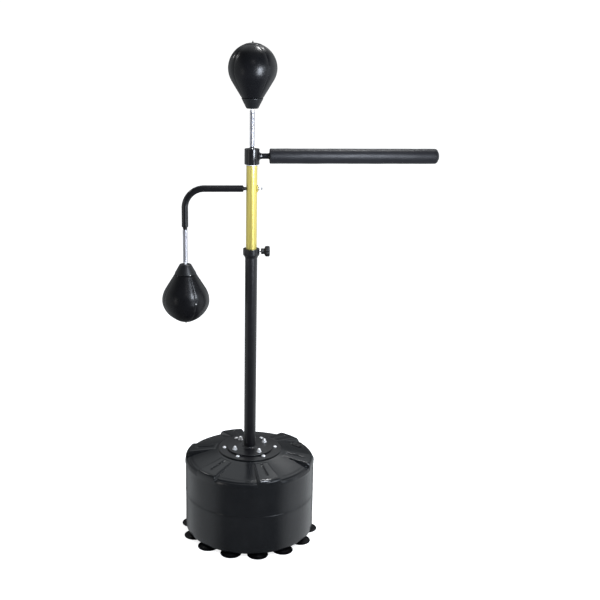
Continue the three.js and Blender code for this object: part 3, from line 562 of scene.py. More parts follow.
def tank_point(between, along, angle):
    """A point of the tank: the two outlines mixed, then grooves, waves and the filler's seat."""
    (ra, za), (rb, zb) = between, along
    offset = (angle - RIB_FIRST + RIB_PITCH / 2) % RIB_PITCH - RIB_PITCH / 2
    side = abs(rad(offset)) * ra
    past = side - rad(RIB_HALF) * ra + RIB_SOFT
    weight = sqrt(1 - min(max(past / (2 * RIB_SOFT), 0), 1) ** 2)
    r = ra + (rb - ra) * weight
    z = za + (zb - za) * weight
    groove = (1 - smoothstep(2.4, 5, side)) * smoothstep(GROOVE_INNER, GROOVE_INNER + 8, r)
    groove *= 1 - smoothstep(GROOVE_OUTER - 8, GROOVE_OUTER, r)
    z -= GROOVE_DEPTH * groove * (z > RIM_Z)
    if r > 150 and z > TANK_BOTTOM + 2:
        wave = noise.noise(polar(r, rad(angle), z) * WAVE_SCALE) * WAVE_HEIGHT
        r += wave * smoothstep(150, 240, r)
        z += wave * 0.6 * (z > RIM_Z)
    x = r * cos(rad(angle))
    y = r * sin(rad(angle))
    if z > RIM_Z - 4:
        away = Vector((x, y)) - Vector((FILL_FOOT[0] - MAST_X, FILL_FOOT[1]))
        z += (SEAT_Z - 1.2 - z) * (1 - smoothstep(SEAT_RADIUS, SEAT_RADIUS + 3, away.length))
    return Vector((MAST_X + x, y, z)) * MM


def make_tank():
    angles = tank_angles()
    bm = bmesh.new()
    rings = []
    for between, along in zip(*tank_profiles()):
        if between[0] < TINY:
            rings.append([bm.verts.new(Vector((MAST_X, 0, between[1])) * MM)])
            continue
        rings.append([bm.verts.new(tank_point(between, along, angle)) for angle in angles])
    skin(bm, rings)
    piece(finish_mesh("drum_tank", bm, 60), "base", "tank_plastic", "base_tank")
    neck = loop([(17.2, SEAT_Z - 8), (23.4, SEAT_Z - 8), (23.4, SEAT_Z, 1.2), (17.2, SEAT_Z, 0.6)])
    part("filler_neck", neck, "base", "tank_plastic", at=FILL_FOOT, closed=True)


def make_cups():
    top = TANK_BOTTOM - GAP
    disc = [(0, 4.4), (8, 4.4), (20, 3.5), (30, 1.6), (34.2, 0.3), (35.4, 0.03), (38.6, 0), (39.5, 0.25),
            (39.8, 0.9), (39.4, 1.7), (38, 2.3), (34, 3.0), (30, 3.7), (26.4, 4.9), (25.6, 5.6), (22, 6.8)]
    neck = [(18, 8.2), (15.2, 9.8), (14, top), (7, top), (7, 20.4), (6.4, 21), (0, 21)]
    for i in range(1, CUP_COUNT + 1):
        node = f"suction_cup_{i:02d}"
        part(f"cup_{i:02d}", disc + neck, "base", "cup_rubber", node, at=foot_of(node), segments=56)


def make_filler():
    bottom, top = heights("fill_cap_gasket")
    ring = loop([(17, bottom, 0.5), (20.5, bottom, 0.5), (20.5, top, 0.5), (17, top, 0.5)])
    part("cap_seal_ring", ring, "fill_seal", "seal_rubber", "fill_cap_gasket", at=FILL_FOOT, closed=True)
    under = top + GAP
    bottom, lid = heights("fill_cap")
    profile = filleted([(0, bottom), (15.4, bottom, 0.6), (16.4, bottom + 1.2), (16.4, under),
                        (20.4, under, 0.5), (20.4, lid - 1.6, 1.6), (18.6, lid, 1.2), (14.5, lid, 0.6),
                        (13.9, lid - 1.2, 0.6), (0, lid - 1.2)])

    def knurl(r, h, angle):
        grip = 0.55 * max(0, cos(22 * angle)) * (under + 0.8 < h < lid - 0.6) * (r > 18)
        return r - grip, h

    cap = turned("filler_cap", profile, FILL_FOOT, segments=176, form=knurl)
    place = Matrix.Translation((*FILL_FOOT[:2], lid - 1.4)) @ Matrix.Rotation(rad(35), 4, "Z")
    grip = prism("cap_grip", [(-12.8, -2.6), (12.8, -2.6), (12.8, 2.6), (-12.8, 2.6)], 2.6, place, 0.8)
    combine(cap, grip, "UNION")
    piece(cap, "fill_lid", "black_plastic", "fill_cap")


def hexagon(angle):
    """Radius of a hexagon of unit outer radius, in a direction."""
    sector = TAU / 6
    return cos(sector / 2) / cos((angle % sector) - sector / 2)


def make_plates():
    bottom = low("base_plate").z
    top = low("mast_flange").z - GAP
    disc = filleted([(0, bottom), (120, bottom, 0.6), (120, top, 1.1), (0, top)])
    part("drum_plate", disc, "base", "black_paint", "base_plate", segments=160)
    under, face = heights("mast_flange")
    face -= 5
    ring = loop([(22.7, under), (87.5, under, 0.6), (87.5, face, 1.3), (29.5, face, 1.5),
                 (26.2, face + 1.8, 1.6), (24.4, face + 5, 0.8), (22.7, face + 5, 0.3)])

    def weld(r, h, angle):
        if h <= face + 0.3 or r < 22.8:
            return r, h
        return r + 0.22 * sin(46 * angle + 1.3 * sin(5 * angle)), h

    part("post_flange", ring, "base", "black_paint", "mast_flange", segments=280, closed=True, form=weld)
    make_screws(top + GAP)
    make_nuts()


def make_screws(seat):
    """Button-head screws with a hexagon socket, on the base plate."""
    socket, head = 2.7, 4.6
    dome = [(0, 2), (socket, 2), (socket, head - 0.25), (socket + 0.35, head), (4.0, head - 0.05),
            (5.2, 4.1), (6.3, 3.2), (7.1, 2.0), (7.55, 0.7), (7.4, 0.1), (7.1, 0), (4, 0)]
    profile = [(r, seat + h) for r, h in dome]
    profile += [(4, BOSS_Z - 12), (3.2, BOSS_Z - 12.7), (0, BOSS_Z - 12.7)]

    def hex_socket(r, h, angle):
        inside = r <= socket + 0.1 and h > seat + 1
        return (r * hexagon(angle) * 1.08 if inside else r), h

    for i in range(1, SCREW_COUNT + 1):
        node = f"plate_screw_{i}"
        part(f"button_screw_{i}", profile, "base", "bright_steel", node, at=foot_of(node), segments=48,
             form=hex_socket)


def make_nuts():
    """Acorn nuts with a flange."""
    for i in range(1, NUT_COUNT + 1):
        node = f"flange_nut_{i}"
        foot, crown = heights(node)
        outline = [(0, 0), (8.9, 0), (9.2, 0.3), (9.2, 1.3), (8.9, 1.6), (6.9, 1.62), (7.6, 2.1),
                   (7.6, 6.2), (6.8, 7.1), (6, 7.4), (5.7, 7.7)]
        profile = [(r, foot + h) for r, h in outline]
        profile += [*arc(0, crown - 5.7, 5.7, 0, 90, 9)[:-1], (0, crown)]

        def hex_side(r, h, angle, foot=foot):
            flat = foot + 1.9 < h < foot + 6.9
            return (min(r, 7.6 * hexagon(angle)) if flat else r), h

        part(f"acorn_nut_{i}", profile, "base", "bright_steel", node, at=foot_of(node), segments=72,
             form=hex_side)


# ---- post
def tube_piece(name, node, body, slot, wall, top_fillet=0.4):
    bottom, top = heights(node)
    outer = half_width(node)
    inner = outer - wall
    outline = loop([(inner, bottom, 0.2), (outer, bottom, 0.4), (outer, top, top_fillet),
                    (inner, top, 0.2)])
    stations = []
    for (r0, z0), (r1, z1) in zip(outline, outline[1:] + outline[:1]):
        count = max(1, int(abs(z1 - z0) / 60))
        stations += [(r0 + (r1 - r0) * k / count, z0 + (z1 - z0) * k / count) for k in range(count)]
    part(name, stations, body, slot, node, closed=True)


def threaded(name, radius, pitch, ends, at, axis):
    """A threaded rod between two heights on its axis."""
    start, end = ends
    steps = int((end - start) / pitch * 6)
    profile = [(0, start), (radius - 0.6, start)]
    profile += [(radius, start + 0.4 + (end - start - 0.8) * i / steps) for i in range(steps + 1)]
    profile += [(radius - 0.6, end), (0, end)]

    def groove(r, h, angle):
        phase = (h / pitch - angle / TAU) % 1
        return (r - 0.45 * abs(2 * phase - 1) if r == radius else r), h

    return turned(name, profile, at, axis, 40, form=groove, sharp=60)


def make_post():
    tube_piece("lower_post", "lower_tube", "base", "black_paint", 1.2)
    tube_piece("upper_post", "upper_tube", "post", "gold_paint", 1.5, 1.4)
    rim, bush = heights("guide_bush")
    ring = loop([(20.25, rim, 0.2), (21.2, rim, 0.2), (21.2, bush - 2.7), (22.3, bush - 2.7, 0.3),
                 (22.3, bush, 0.4), (20.25, bush, 0.2)])
    part("post_bush", ring, "base", "nylon", "guide_bush", closed=True)
    foot, head = heights("tube_collar")
    outer = half_width("tube_collar")
    outline = loop([(22.8, foot, 0.3), (24.0, foot, 0.8), (24.6, foot + 4, 3), (outer, foot + 11, 2.5),
                    (outer, head, 1.8), (20.6, head, 0.6), (20.6, bush + GAP, 0.2),
                    (22.8, bush + GAP, 0.2)])
    collar = turned("post_collar", outline, MAST_FOOT, closed=True, segments=96)
    hole = turned("clamp_hole", [(0, 22), (5.3, 22), (5.3, 36), (0, 36)], (MAST_X, 0, CLAMP_Z), "+X", 40)
    combine(collar, hole, "DIFFERENCE")
    piece(collar, "base", "black_paint", "tube_collar")


def make_clamp():
    origin = (MAST_X, 0, CLAMP_Z)
    start, end = reach("clamp_pad")
    pad = filleted([(0, start), (5, start, 0.5), (5, end, 0.5), (0, end)])
    part("clamp_tip", pad, "clamp_slider", "nylon", "clamp_pad", at=origin, axis="+X", segments=40)
    stud = threaded("clamp_screw", 4, 1.5, reach("clamp_stud"), origin, "+X")
    piece(stud, "clamp_handle", "bright_steel", "clamp_stud")
    start, end = reach("clamp_knob")
    head = start + 14
    bore = 4.3
    outline = [(bore, start + 13), (bore, start), (9.6, start, 0.8), (11, start + 2, 1),
               (10.4, head - 2, 2), (16.5, head, 1.5), (19.6, head + 3, 2.5), (19.9, end - 4.5, 2.5),
               (18, end, 2.5), (11.5, end, 1), (10.8, end - 1.4, 0.6), (9.8, end - 1.4, 0.5),
               (9.2, end - 0.4, 0.6), (0, end - 0.2)]
    profile = [(0, start + 13), *filleted(outline)]

    def lobes(r, h, angle):
        if h < head - 1 or r < 12:
            return r, h
        depth = smoothstep(12, 19, r) * 2.6
        return r - depth * (1 - abs(cos(3 * angle))) ** 1.4, h

    part("star_knob", profile, "clamp_handle", "black_plastic", "clamp_knob", at=origin, axis="+X",
         segments=144, form=lobes)


def make_spindle():
    top_tube, end = high("upper_tube").z, high("spindle").z
    low_bearing = low("lower_bearing").z
    shaft = filleted([(0, top_tube - 24), (18.2, top_tube - 24, 0.5), (18.2, top_tube + GAP),
                      (19.6, top_tube + GAP, 0.4), (19.2, top_tube + 3, 1.2), (12, top_tube + 3, 0.4),
                      (12, low_bearing - GAP, 0.3), (8.5, low_bearing - GAP), (8.5, end, 0.8), (0, end)])
    part("spindle_shaft", shaft, "post", "bright_steel", "spindle")
    for name, node in (("bearing_low", "lower_bearing"), ("bearing_high", "upper_bearing")):
        foot, head = heights(node)
        half = [(8.8, 0, 0.4), (11.8, 0, 0.3), (12, 0.5), (17, 0.5), (17.2, 0, 0.3), (20, 0, 0.6)]
        ring = [(r, foot + h, *fillet) for r, h, *fillet in half]
        ring += [(r, head - h, *fillet) for r, h, *fillet in reversed(half)]
        part(name, loop(ring, 2), "post", "bright_steel", node, closed=True)


SLEEVE_RADIUS = 27


def make_spinner():
    foot, head = heights("spinner_sleeve")
    lower = high("lower_bearing").z + GAP
    upper = low("upper_bearing").z - GAP
    outer = SLEEVE_RADIUS
    ring = loop([(20.3, foot, 0.6), (outer, foot, 0.6), (outer, head, 0.6), (20.3, head, 0.6),
                 (20.3, upper, 0.3), (16.3, upper, 0.4), (16.3, lower, 0.4), (20.3, lower, 0.3)])
    part("bar_hub", ring, "spinner", "black_gloss_paint", "spinner_sleeve", closed=True, segments=96)
    bar = (MAST_X, 0, BAR_Z)
    start, end = reach("bar_foam")
    inner, outer = 8.5, 10
    root = [(inner, 40), (inner, 29), (14.6, 27.4), (13.6, 28.6), (12.2, 30), (11, 32), (10.3, 34.5)]
    shaft = [(outer, 37), (outer, start - 7), (10.4, start - 5), (11.6, start - 2.6),
             (12.6, start - 1.2), (12.7, start - GAP), (outer, start - GAP)]
    far = [(outer, start + 200), (outer, start + 400), (outer, end - 2), (inner, end - 2)]

    def saddle(r, h, angle):
        if h > 30:
            return r, h
        surface = sqrt((SLEEVE_RADIUS + 0.2) ** 2 - (r * sin(angle)) ** 2)
        return r, surface + (h - 27.4) * 0.9

    part("bar_shaft", root + shaft + far, "spinner", "black_gloss_paint", "bar_tube", at=bar, axis="+X",
         segments=72, closed=True, form=saddle)
    make_foam(bar, start, end)
    tip = high("bar_end_cap").x - MAST_X
    plug = filleted([(0, end - 22), (8.2, end - 22, 1), (8.2, end + GAP), (14.8, end + GAP, 0.3),
                     (14.2, tip - 0.6, 1.6), (10, tip, 1.5), (0, tip)])
    part("bar_plug", plug, "spinner", "black_plastic", "bar_end_cap", at=bar, axis="+X")


def make_foam(bar, start, end):
    """Foam sleeve: rounded far end, small dents and a slightly uneven skin."""
    radius = (high("bar_foam").z - low("bar_foam").z) / 2
    profile = [(10.4, start + 1.5), (11.5, start + 0.3), (14, start), (radius - 3, start)]
    profile += arc(radius - 3, start + 3, 3, -90, 0, 5)[1:]
    profile += [(radius, start + 3 + (end - start - 14) * i / 90) for i in range(1, 91)]
    profile += arc(radius - 10.5, end - 10.5, 10.5, 2, 90, 9)
    profile += [(13, end - 0.1), (11, end - 0.5), (10.4, end - 2)]

    def uneven(r, h, angle):
        if r < radius - 4:
            return r, h
        here = polar(1.3, angle, h * 0.02)
        fine = polar(5, angle, h * 0.09)
        return r + 0.45 * noise.noise(here) + 0.18 * noise.noise(fine), h

    foam = part("foam_sleeve", profile, "spinner", "bar_foam", "bar_foam", at=bar, axis="+X",
                segments=96, closed=True, form=uneven)


# ---- springs
SPRING_RADIUS = 9
WIRE_RADIUS = 1.36
COIL_PITCH = 2.72
COIL_STEPS = 40
COIL_INSET = 1.3


def coil(name, x, start, end, first_turn):
    """Part of a close-wound spring about the upright line at x, from one height to another."""
    mean = SPRING_RADIUS - WIRE_RADIUS
    count = int((end - start) / COIL_PITCH * COIL_STEPS)
    path = []
    for i in range(count + 1):
        angle = TAU * (first_turn + i / COIL_STEPS)
        z = start + (end - start) * i / count
        path.append((x + mean * cos(angle), mean * sin(angle), z))
    return swept(name, path, WIRE_RADIUS, 14)


def make_spring(node, x, below, between, above):
    """Two halves of the spring that meet in the middle."""
    bottom, top = heights(node)
    centre = (bottom + top) / 2
    turns = (centre - bottom - COIL_INSET) / COIL_PITCH
    lower = coil(f"{node}_coil_a", x, bottom + COIL_INSET, centre, 0)
    upper = coil(f"{node}_coil_b", x, centre, top - COIL_INSET, turns)
    for half, bodies, z0, z1 in ((lower, (below, between), bottom, centre),
                                 (upper, (between, above), centre, top)):
        half.data.materials.append(MATERIALS["spring_chrome"])
        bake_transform(half)
        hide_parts(node)


# ---- balls
PANELS = 4
SIDE_SEAM = 63  # where the side ball's first seam is, in degrees
STEM_IN_SPRING = 24
STEM_FLANGE = 1.7
COLLAR_LOW = STEM_FLANGE + 5.8
COLLAR_HEIGHT = 36
MOUTH = COLLAR_LOW + COLLAR_HEIGHT + GAP
PATCH_RADIUS = 31
PATCH_LIFT = 0.75
VOXEL = 5
PRESSURE = 4.0
MOST_SWELL = 2.0
STITCH_PITCH = 5
STITCH_HALF = 1.5
STITCH_OFFSET = 3.4
STITCH_LIFT = -0.26


def ball_outline(radius, depth, taper, mouth_radius, sag):
    """(radius, height) of the cover from its mouth to its pole. depth is from its widest ring to the
    pole, and sag is how much narrower than round it is towards the pole."""
    taper = rad(taper)
    tangent = radius * cos(taper)
    cone = (tangent - mouth_radius) / tan(taper)
    centre = cone + radius * sin(taper)
    steps = 22
    points = []
    for i in range(steps):
        points.append((mouth_radius + (tangent - mouth_radius) * i / steps, cone * i / steps))
    steps = 60
    for i in range(steps + 1):
        angle = -taper + (pi / 2 + taper) * i / steps
        narrow = 1 - sag * max(angle / (pi / 2), 0) ** 1.6
        height = centre + (depth if angle > 0 else radius) * sin(angle)
        points.append((max(radius * narrow * cos(angle), 0), height))
    return points


class Ball:
    """A leather ball of four panels, with its seams, patch, collar, stem and bladder."""

    def __init__(self, name, x, axis, body, seam_at, radius, depth, taper, mouth_radius, sag):
        self.name = name
        self.axis = axis
        self.body = body
        self.seam = rad(seam_at)
        self.mouth_radius = mouth_radius
        self.flip = -1 if axis == "-Z" else 1
        bottom, top = heights(f"{name}_stem")
        edge = bottom if self.flip > 0 else top
        self.origin = (x, 0, edge + self.flip * STEM_IN_SPRING)
        self.outline = ball_outline(radius, depth, taper, mouth_radius, sag)
        self.pole = MOUTH + self.outline[-1][1]
        self.cover()
        self.patch()
        self.stitches()
        self.hardware()

    def turned(self, name, profile, segments, **how):
        return turned(f"{self.name}_{name}", profile, self.origin, self.axis, segments, **how)

    def part(self, name, profile, segments, slot, node, **how):
        nodes = [f"{self.name}_{node}"] if node else []
        piece(self.turned(name, profile, segments, **how), self.body, slot, *nodes)

    def side(self, inset, start, end):
        """Part of the outline at its height above the stem, moved inwards."""
        return [(r - inset, h + MOUTH) for r, h in self.outline[start:end]]

    def from_seam(self, angle):
        """Angle to the nearest seam."""
        sector = TAU / PANELS
        return (angle - self.seam + sector / 2) % sector - sector / 2

    def panelled(self, r, h, angle):
        """Draws the skin in at the seams, puckers it there, and makes it a little uneven."""
        along = (h - MOUTH) / (self.pole - MOUTH)
        strength = smoothstep(0.0, 0.25, along) * smoothstep(8, 40, r)
        away = abs(self.from_seam(angle)) * r
        near = exp(-(away / 8) ** 2)
        pinch = (0.5 + 1.3 * smoothstep(0.55, 0.8, along)) * near
        pinch += 0.9 * exp(-(away / 1.5) ** 2)
        pucker = 0.3 * near * sin(h * 0.95 + 2.2 * sin(h * 0.21))
        soft = 0.9 * noise.noise(polar(r, angle, h) * 0.017 + Vector((self.origin[0], 0, 0)))
        return max(r + strength * (pucker + soft - pinch), 0.4), h

    def cover(self):
        rim = [(0, MOUTH + 2.5), (30.3, MOUTH + 2.5), (30.3, MOUTH + 0.3), (30.9, MOUTH),
               (self.mouth_radius - 0.8, MOUTH)]
        profile = rim + self.side(0, 1, -1) + [(0, self.pole)]
        cover = self.turned("cover", profile, 256, form=self.panelled, sharp=70)
        self.move_at = self.swelling(cover)
        piece(self.swollen(cover), self.body, "ball_leather", f"{self.name}_cover")

    def held_points(self, points):
        """Indices of the points at the mouth and the seams, which the cloth is held by."""
        base = Vector(self.origin) * MM
        held = []
        for i, co in enumerate(points):
            x = co.x - base.x
            y = co.y - base.y
            height = self.flip * (co.z - base.z) / MM
            away = abs(self.from_seam(atan2(self.flip * y, x))) * hypot(x, y)
            if height < MOUTH + 10 or away < 3.5 * MM:
                held.append(i)
        return held

    def swelling(self, cover):
        """Blows a copy of the cover up as cloth, and gives a function of how far that moves a point."""
        scene = bpy.context.scene
        soft = cover.copy()
        soft.data = cover.data.copy()
        scene.collection.objects.link(soft)
        remesh = soft.modifiers.new("remesh", "REMESH")
        remesh.mode = "VOXEL"
        remesh.voxel_size = VOXEL * MM
        bake(soft)
        start = [v.co.copy() for v in soft.data.vertices]
        soft.vertex_groups.new(name="held").add(self.held_points(start), 1.0, "REPLACE")
        cloth = soft.modifiers.new("cloth", "CLOTH").settings
        cloth.quality = 5
        cloth.use_pressure = True
        cloth.uniform_pressure_force = PRESSURE
        cloth.tension_stiffness = 15
        cloth.compression_stiffness = 15
        cloth.vertex_group_mass = "held"
        cloth.effector_weights.gravity = 0
        for frame_number in range(1, 21):
            scene.frame_set(frame_number)
        result = soft.evaluated_get(bpy.context.evaluated_depsgraph_get())
        moves = []
        for before, after in zip(start, result.data.vertices):
            move = after.co - before
            moves.append(move * min(1, MOST_SWELL * MM / max(move.length, 1e-9)))
        tree = kdtree.KDTree(len(start))
        for i, co in enumerate(start):
            tree.insert(co, i)
        tree.balance()
        scene.frame_set(1)
        bpy.data.objects.remove(soft)

        def move_at(co):
            total, weight = Vector(), 0
            for _, index, distance in tree.find_n(co, 8):
                share = 1 / (distance + 1.5 * MM) ** 2
                total += moves[index] * share
                weight += share
            return total / weight

        return move_at

    def swollen(self, obj):
        """Carries the cloth's moves over to a fine mesh."""
        for vertex in obj.data.vertices:
            vertex.co += self.move_at(vertex.co)
        return obj

    def patch(self):
        """A round patch over the pole, and the end of the lace that stands out of it."""
        patch = [(r, h + MOUTH) for r, h in self.outline if r < PATCH_RADIUS and h > 100]
        edge_r, edge_h = patch[0]
        profile = [(0, edge_h - 1.4), (edge_r + 0.6, edge_h - 1.4), (edge_r + 0.7, edge_h - 0.5),
                   (edge_r + 0.4, edge_h + 0.3), *[(r, h + PATCH_LIFT) for r, h in patch[1:-1]],
                   (0, patch[-1][1] + PATCH_LIFT)]
        disc = self.turned("patch", profile, 96, sharp=70)
        piece(self.swollen(disc), self.body, "ball_leather")
        knot = [(0, -1), (3.4, -1, 0.6), (2.6, 2.2, 1), (1.5, 3.6, 0.8), (1.9, 6.2, 0.9), (0.9, 6.9, 0.5),
                (0, 6.9)]
        knot = filleted([(r, self.pole + h, *fillet) for r, h, *fillet in knot])
        self.part("lace_knot", knot, 24, "black_plastic", None)

    def hardware(self):
        wide, pole = self.mouth_radius + 0.6, self.pole
        collar = filleted([(0, COLLAR_LOW + 20.4), (5.6, COLLAR_LOW + 20.4, 0.3), (5.6, COLLAR_LOW, 0.4),
                           (19.6, COLLAR_LOW, 0.8), (21.6, COLLAR_LOW + 1.4, 1),
                           (wide - 0.4, MOUTH - 3, 1), (wide, MOUTH - 1, 0.6),
                           (wide - 0.7, MOUTH - GAP, 0.4), (29.7, MOUTH - GAP), (29.7, MOUTH + 4, 0.4),
                           (0, MOUTH + 4)])
        self.part("neck", collar, 96, "collar_plastic", "collar")
        stem = filleted([(0, -STEM_IN_SPRING), (5.9, -STEM_IN_SPRING, 0.8), (5.9, GAP), (9, GAP, 0.4),
                         (9, STEM_FLANGE, 0.5), (5.3, STEM_FLANGE, 0.3), (5.3, COLLAR_LOW + 20, 0.5),
                         (0, COLLAR_LOW + 20)])
        self.part("bolt", stem, 48, "bright_steel", "stem")
        bladder = [(0, MOUTH + 14), (4, MOUTH + 14), *self.side(4.6, 5, -6), (12, pole - 5.2),
                   (0, pole - 4.9)]
        self.part("air_bladder", bladder, 72, "bladder_rubber", "bladder", sharp=60)

    def stitches(self):
        """Short thread bars along both sides of every seam, joined into one piece."""
        bm = bmesh.new()
        for k in range(PANELS):
            for side in (-1, 1):
                walked = 0.0
                for lower, upper in zip(self.side(0, 2, -32), self.side(0, 3, -31)):
                    walked += hypot(upper[0] - lower[0], upper[1] - lower[1])
                    if walked < STITCH_PITCH:
                        continue
                    walked = 0.0
                    self.add_stitch(bm, lower, upper, self.seam + TAU * k / PANELS, side)
        stitching = finish_mesh(f"{self.name}_stitching", bm, 60)
        piece(self.swollen(stitching), self.body, "ball_leather")

    def add_stitch(self, bm, lower, upper, seam, side):
        r, h = lower
        angle = seam + side * STITCH_OFFSET / r
        along = Vector((upper[0] - r, upper[1] - h)).normalized() * STITCH_HALF
        out = polar(1, angle)
        ends = []
        for s in (-1, 1):
            rr, hh = self.panelled(r + along.x * s, h + along.y * s, angle)
            ends.append(polar(rr + STITCH_LIFT, angle, hh))
        across = (ends[1] - ends[0]).normalized().cross(out).normalized()
        rings = []
        for t, size in ((0, 0.1), (0.2, 0.25), (0.8, 0.25), (1, 0.1)):
            ring = hoop(ends[0].lerp(ends[1], t), across, out, size, 6)
            place = [(AXES[self.axis] @ co + Vector(self.origin)) * MM for co in ring]
            rings.append([bm.verts.new(co) for co in place])
        skin(bm, rings)
        bm.faces.new(rings[0])
        bm.faces.new(rings[-1])


def make_eyelets():
    """Two small metal eyelets on the side ball's front seam: by the collar, and below its middle."""
    base = high("side_ball_stem").z - STEM_IN_SPRING
    turn = rad(SIDE_SEAM)
    ring = loop([(1.1, -1.2, 0.2), (2.7, -1.2, 0.3), (2.6, 0.3, 0.3), (2.0, 0.9, 0.4), (1.2, 0.3, 0.3)])
    for name, radius, drop, tilt in (("eyelet_upper", 38.7, 41, 28), ("eyelet_lower", 86.2, 139, 2)):
        place = Vector((SIDE_X + radius * cos(turn), -radius * sin(turn), base - drop))
        outward = polar(1, -turn, tan(rad(tilt))).normalized()
        eyelet = turned(name, ring, segments=32, closed=True)
        spin = outward.to_track_quat("Z", "Y").to_matrix().to_4x4()
        eyelet.data.transform(Matrix.Translation(place * MM) @ spin)
        piece(eyelet, "side_head", "bright_steel")


def make_top_seat():
    foot, head = heights("top_spring_seat")
    sleeve = high("spinner_sleeve").z
    spring = low("top_spring").z
    outline = filleted([(0, sleeve + 4.3), (8.8, sleeve + 4.3), (8.8, foot, 0.2), (19.4, foot, 0.4),
                        (19.4, sleeve - 0.4, 0.8), (8.6, sleeve + 0.4, 0.8), (8.2, spring - 1.2),
                        (7.6, spring - GAP, 0.6), (5.9, spring - GAP), (5.9, head, 0.8), (0, head)])

    def hex_part(r, h, angle):
        flat = sleeve + 0.8 < h < spring - 0.8 and 7.8 < r < 9
        return (r * 1.08 * hexagon(angle) if flat else r), h

    part("spring_seat", outline, "post", "black_gloss_paint", "top_spring_seat", segments=72, form=hex_part)


# ---- side arm
def make_arm():
    bend = 70
    start = high("arm_tube").x
    bottom = low("arm_tube").z
    corner_x, corner_z = SIDE_X + bend, ARM_Z - bend
    path = [(start + (corner_x - start) * i / 8, 0, ARM_Z) for i in range(8)]
    for i in range(33):
        angle = pi / 2 * i / 32
        path.append((corner_x - bend * sin(angle), 0, corner_z + bend * cos(angle)))
    path += [(SIDE_X, 0, corner_z + (bottom - corner_z) * i / 5) for i in range(1, 6)]
    piece(swept("arm_bar", path, 12, 40), "arm", "black_gloss_paint", "arm_tube")
    origin = (MAST_X, 0, ARM_Z)
    face = start - MAST_X + GAP
    neck_end = -20.3
    stud_end = high("arm_stud").x - MAST_X
    stud = filleted([(0, face - 18), (9.6, face - 18, 0.5), (9.6, face), (12, face, 0.3),
                     (11.6, face + 1, 0.6), (8.8, face + 3.2, 0.8), (6.3, face + 3.6, 0.5),
                     (5.8, neck_end, 0.6), (4, neck_end, 0.2), (4, stud_end, 0.6), (0, stud_end)])
    part("arm_pivot_stud", stud, "arm", "black_gloss_paint", "arm_stud", at=origin, axis="+X")
    near, far = reach("arm_washer")
    ring = loop([(4.3, near, 0.2), (8, near, 0.3), (8, far, 0.3), (4.3, far, 0.2)])
    part("pivot_washer", ring, "wing_slider", "bright_steel", "arm_washer", at=origin, axis="+X",
         closed=True)
    make_saddle()
    make_wing_nut(origin)
    foot, head = heights("arm_end_plug")
    spring_top = high("side_spring").z
    plug = filleted([(0, foot), (5.9, foot, 0.8), (5.9, spring_top + GAP), (8, spring_top + GAP, 0.4),
                     (8, bottom - 4.2, 0.8), (11.6, bottom - 3, 0.8), (12, bottom - GAP, 0.3),
                     (9.6, bottom - GAP), (9.6, head, 0.5), (0, head)])
    part("arm_tip", plug, "arm", "black_plastic", "arm_end_plug", at=(SIDE_X, 0, 0))


def make_saddle():
    inner, outer = 20.35, high("arm_saddle").x - MAST_X
    foot, head = heights("arm_saddle")
    spread = asin((high("arm_saddle").y - 0.5) / outer)
    steps = 18
    turns = [-spread + 2 * spread * i / steps for i in range(steps + 1)]
    back = [spread - 2 * spread * i / steps for i in range(steps + 1)]
    outline = [(outer * cos(a), outer * sin(a)) for a in turns]
    outline += [(inner * cos(a), inner * sin(a)) for a in back]
    place = Matrix.Translation((MAST_X, 0, ARM_Z))
    piece(prism("pivot_saddle", outline, head - foot, place, 0.7), "post", "gold_paint", "arm_saddle")


def make_wing_nut(origin):
    start, end = reach("arm_wing_nut")
    foot, head = heights("arm_wing_nut")
    span = (head - foot) / 2
    hub = loop([(4.3, start, 0.3), (6.9, start, 0.5), (5.9, start + 7.6, 1.2), (4.3, start + 7.6, 0.4)])
    nut = turned("wing_nut", hub, origin, "+X", 48, closed=True)
    outline = [(start + 1, 4.9), (start + 1.6, 7.2), (start + 5.4, span - 1.6), (start + 8, span),
               (end - 1.2, span - 0.6), (end, span - 3), (end - 1.2, span - 5), (start + 6.8, 5.2)]
    place = Matrix.Translation(origin) @ Matrix.Rotation(pi / 2, 4, "X")
    for side in (1, -1):
        wing = prism("wing", [(u, side * v) for u, v in outline], 2.6, place, 0.9)
        combine(nut, wing, "UNION")
    piece(nut, "wing", "bright_steel", "arm_wing_nut")


# ---- camera, light and floor
CAMERA_LENS = 60.41
CAMERA_SHIFT = 0.0833
CAMERA_AT = (-154.2, -3589, 1952)  # from the post's foot
CAMERA_PITCH = 15.92
CAMERA_PAN = 2.41
CAMERA_ROLL = -0.43
FLOOR_HALF = 14
FLOOR_GLOW = 0.78
ROOM_LIGHT = 0.12
BACKDROP_LIGHT = 1.05
WHITE = (1.0, 1.0, 1.0)
# Softboxes round the object: azimuth (0 is the camera's side, and positive is to its right), distance,
# height, width, length, power, colour, and the height that they aim at
LIGHTS = {
    "key_box": (30, 0.98, 1.58, 0.27, 0.52, 20, (0.84, 0.9, 1.0), 1.4),
    "key_wide": (50, 2.6, 1.7, 0.9, 0.9, 9, (0.82, 0.9, 1.0), 1.3),
    "left_strip": (-52, 2.4, 1.2, 0.3, 1.0, 2, (1.0, 0.97, 0.92), 1.2),
    "right_strip": (80, 2.6, 1.2, 0.3, 1.9, 2, (0.84, 0.92, 1.0), 1.0),
    "right_low": (34, 2.2, 0.7, 0.7, 0.5, 7, (0.84, 0.9, 1.0), 0.5),
    "ceiling_spot": (140, 1.07, 3.6, 0.3, 0.3, 27, WHITE, 1.8),
    "back_left_spot": (-120, 2.6, 3.2, 0.3, 0.3, 7, WHITE, 1.8),
    "back_box": (160, 2.6, 2.6, 0.8, 0.8, 1.6, WHITE, 1.0),
    "front_top_box": (2, 2.4, 3.2, 0.4, 0.4, 2, (1.0, 0.98, 1.0), 1.4),
}
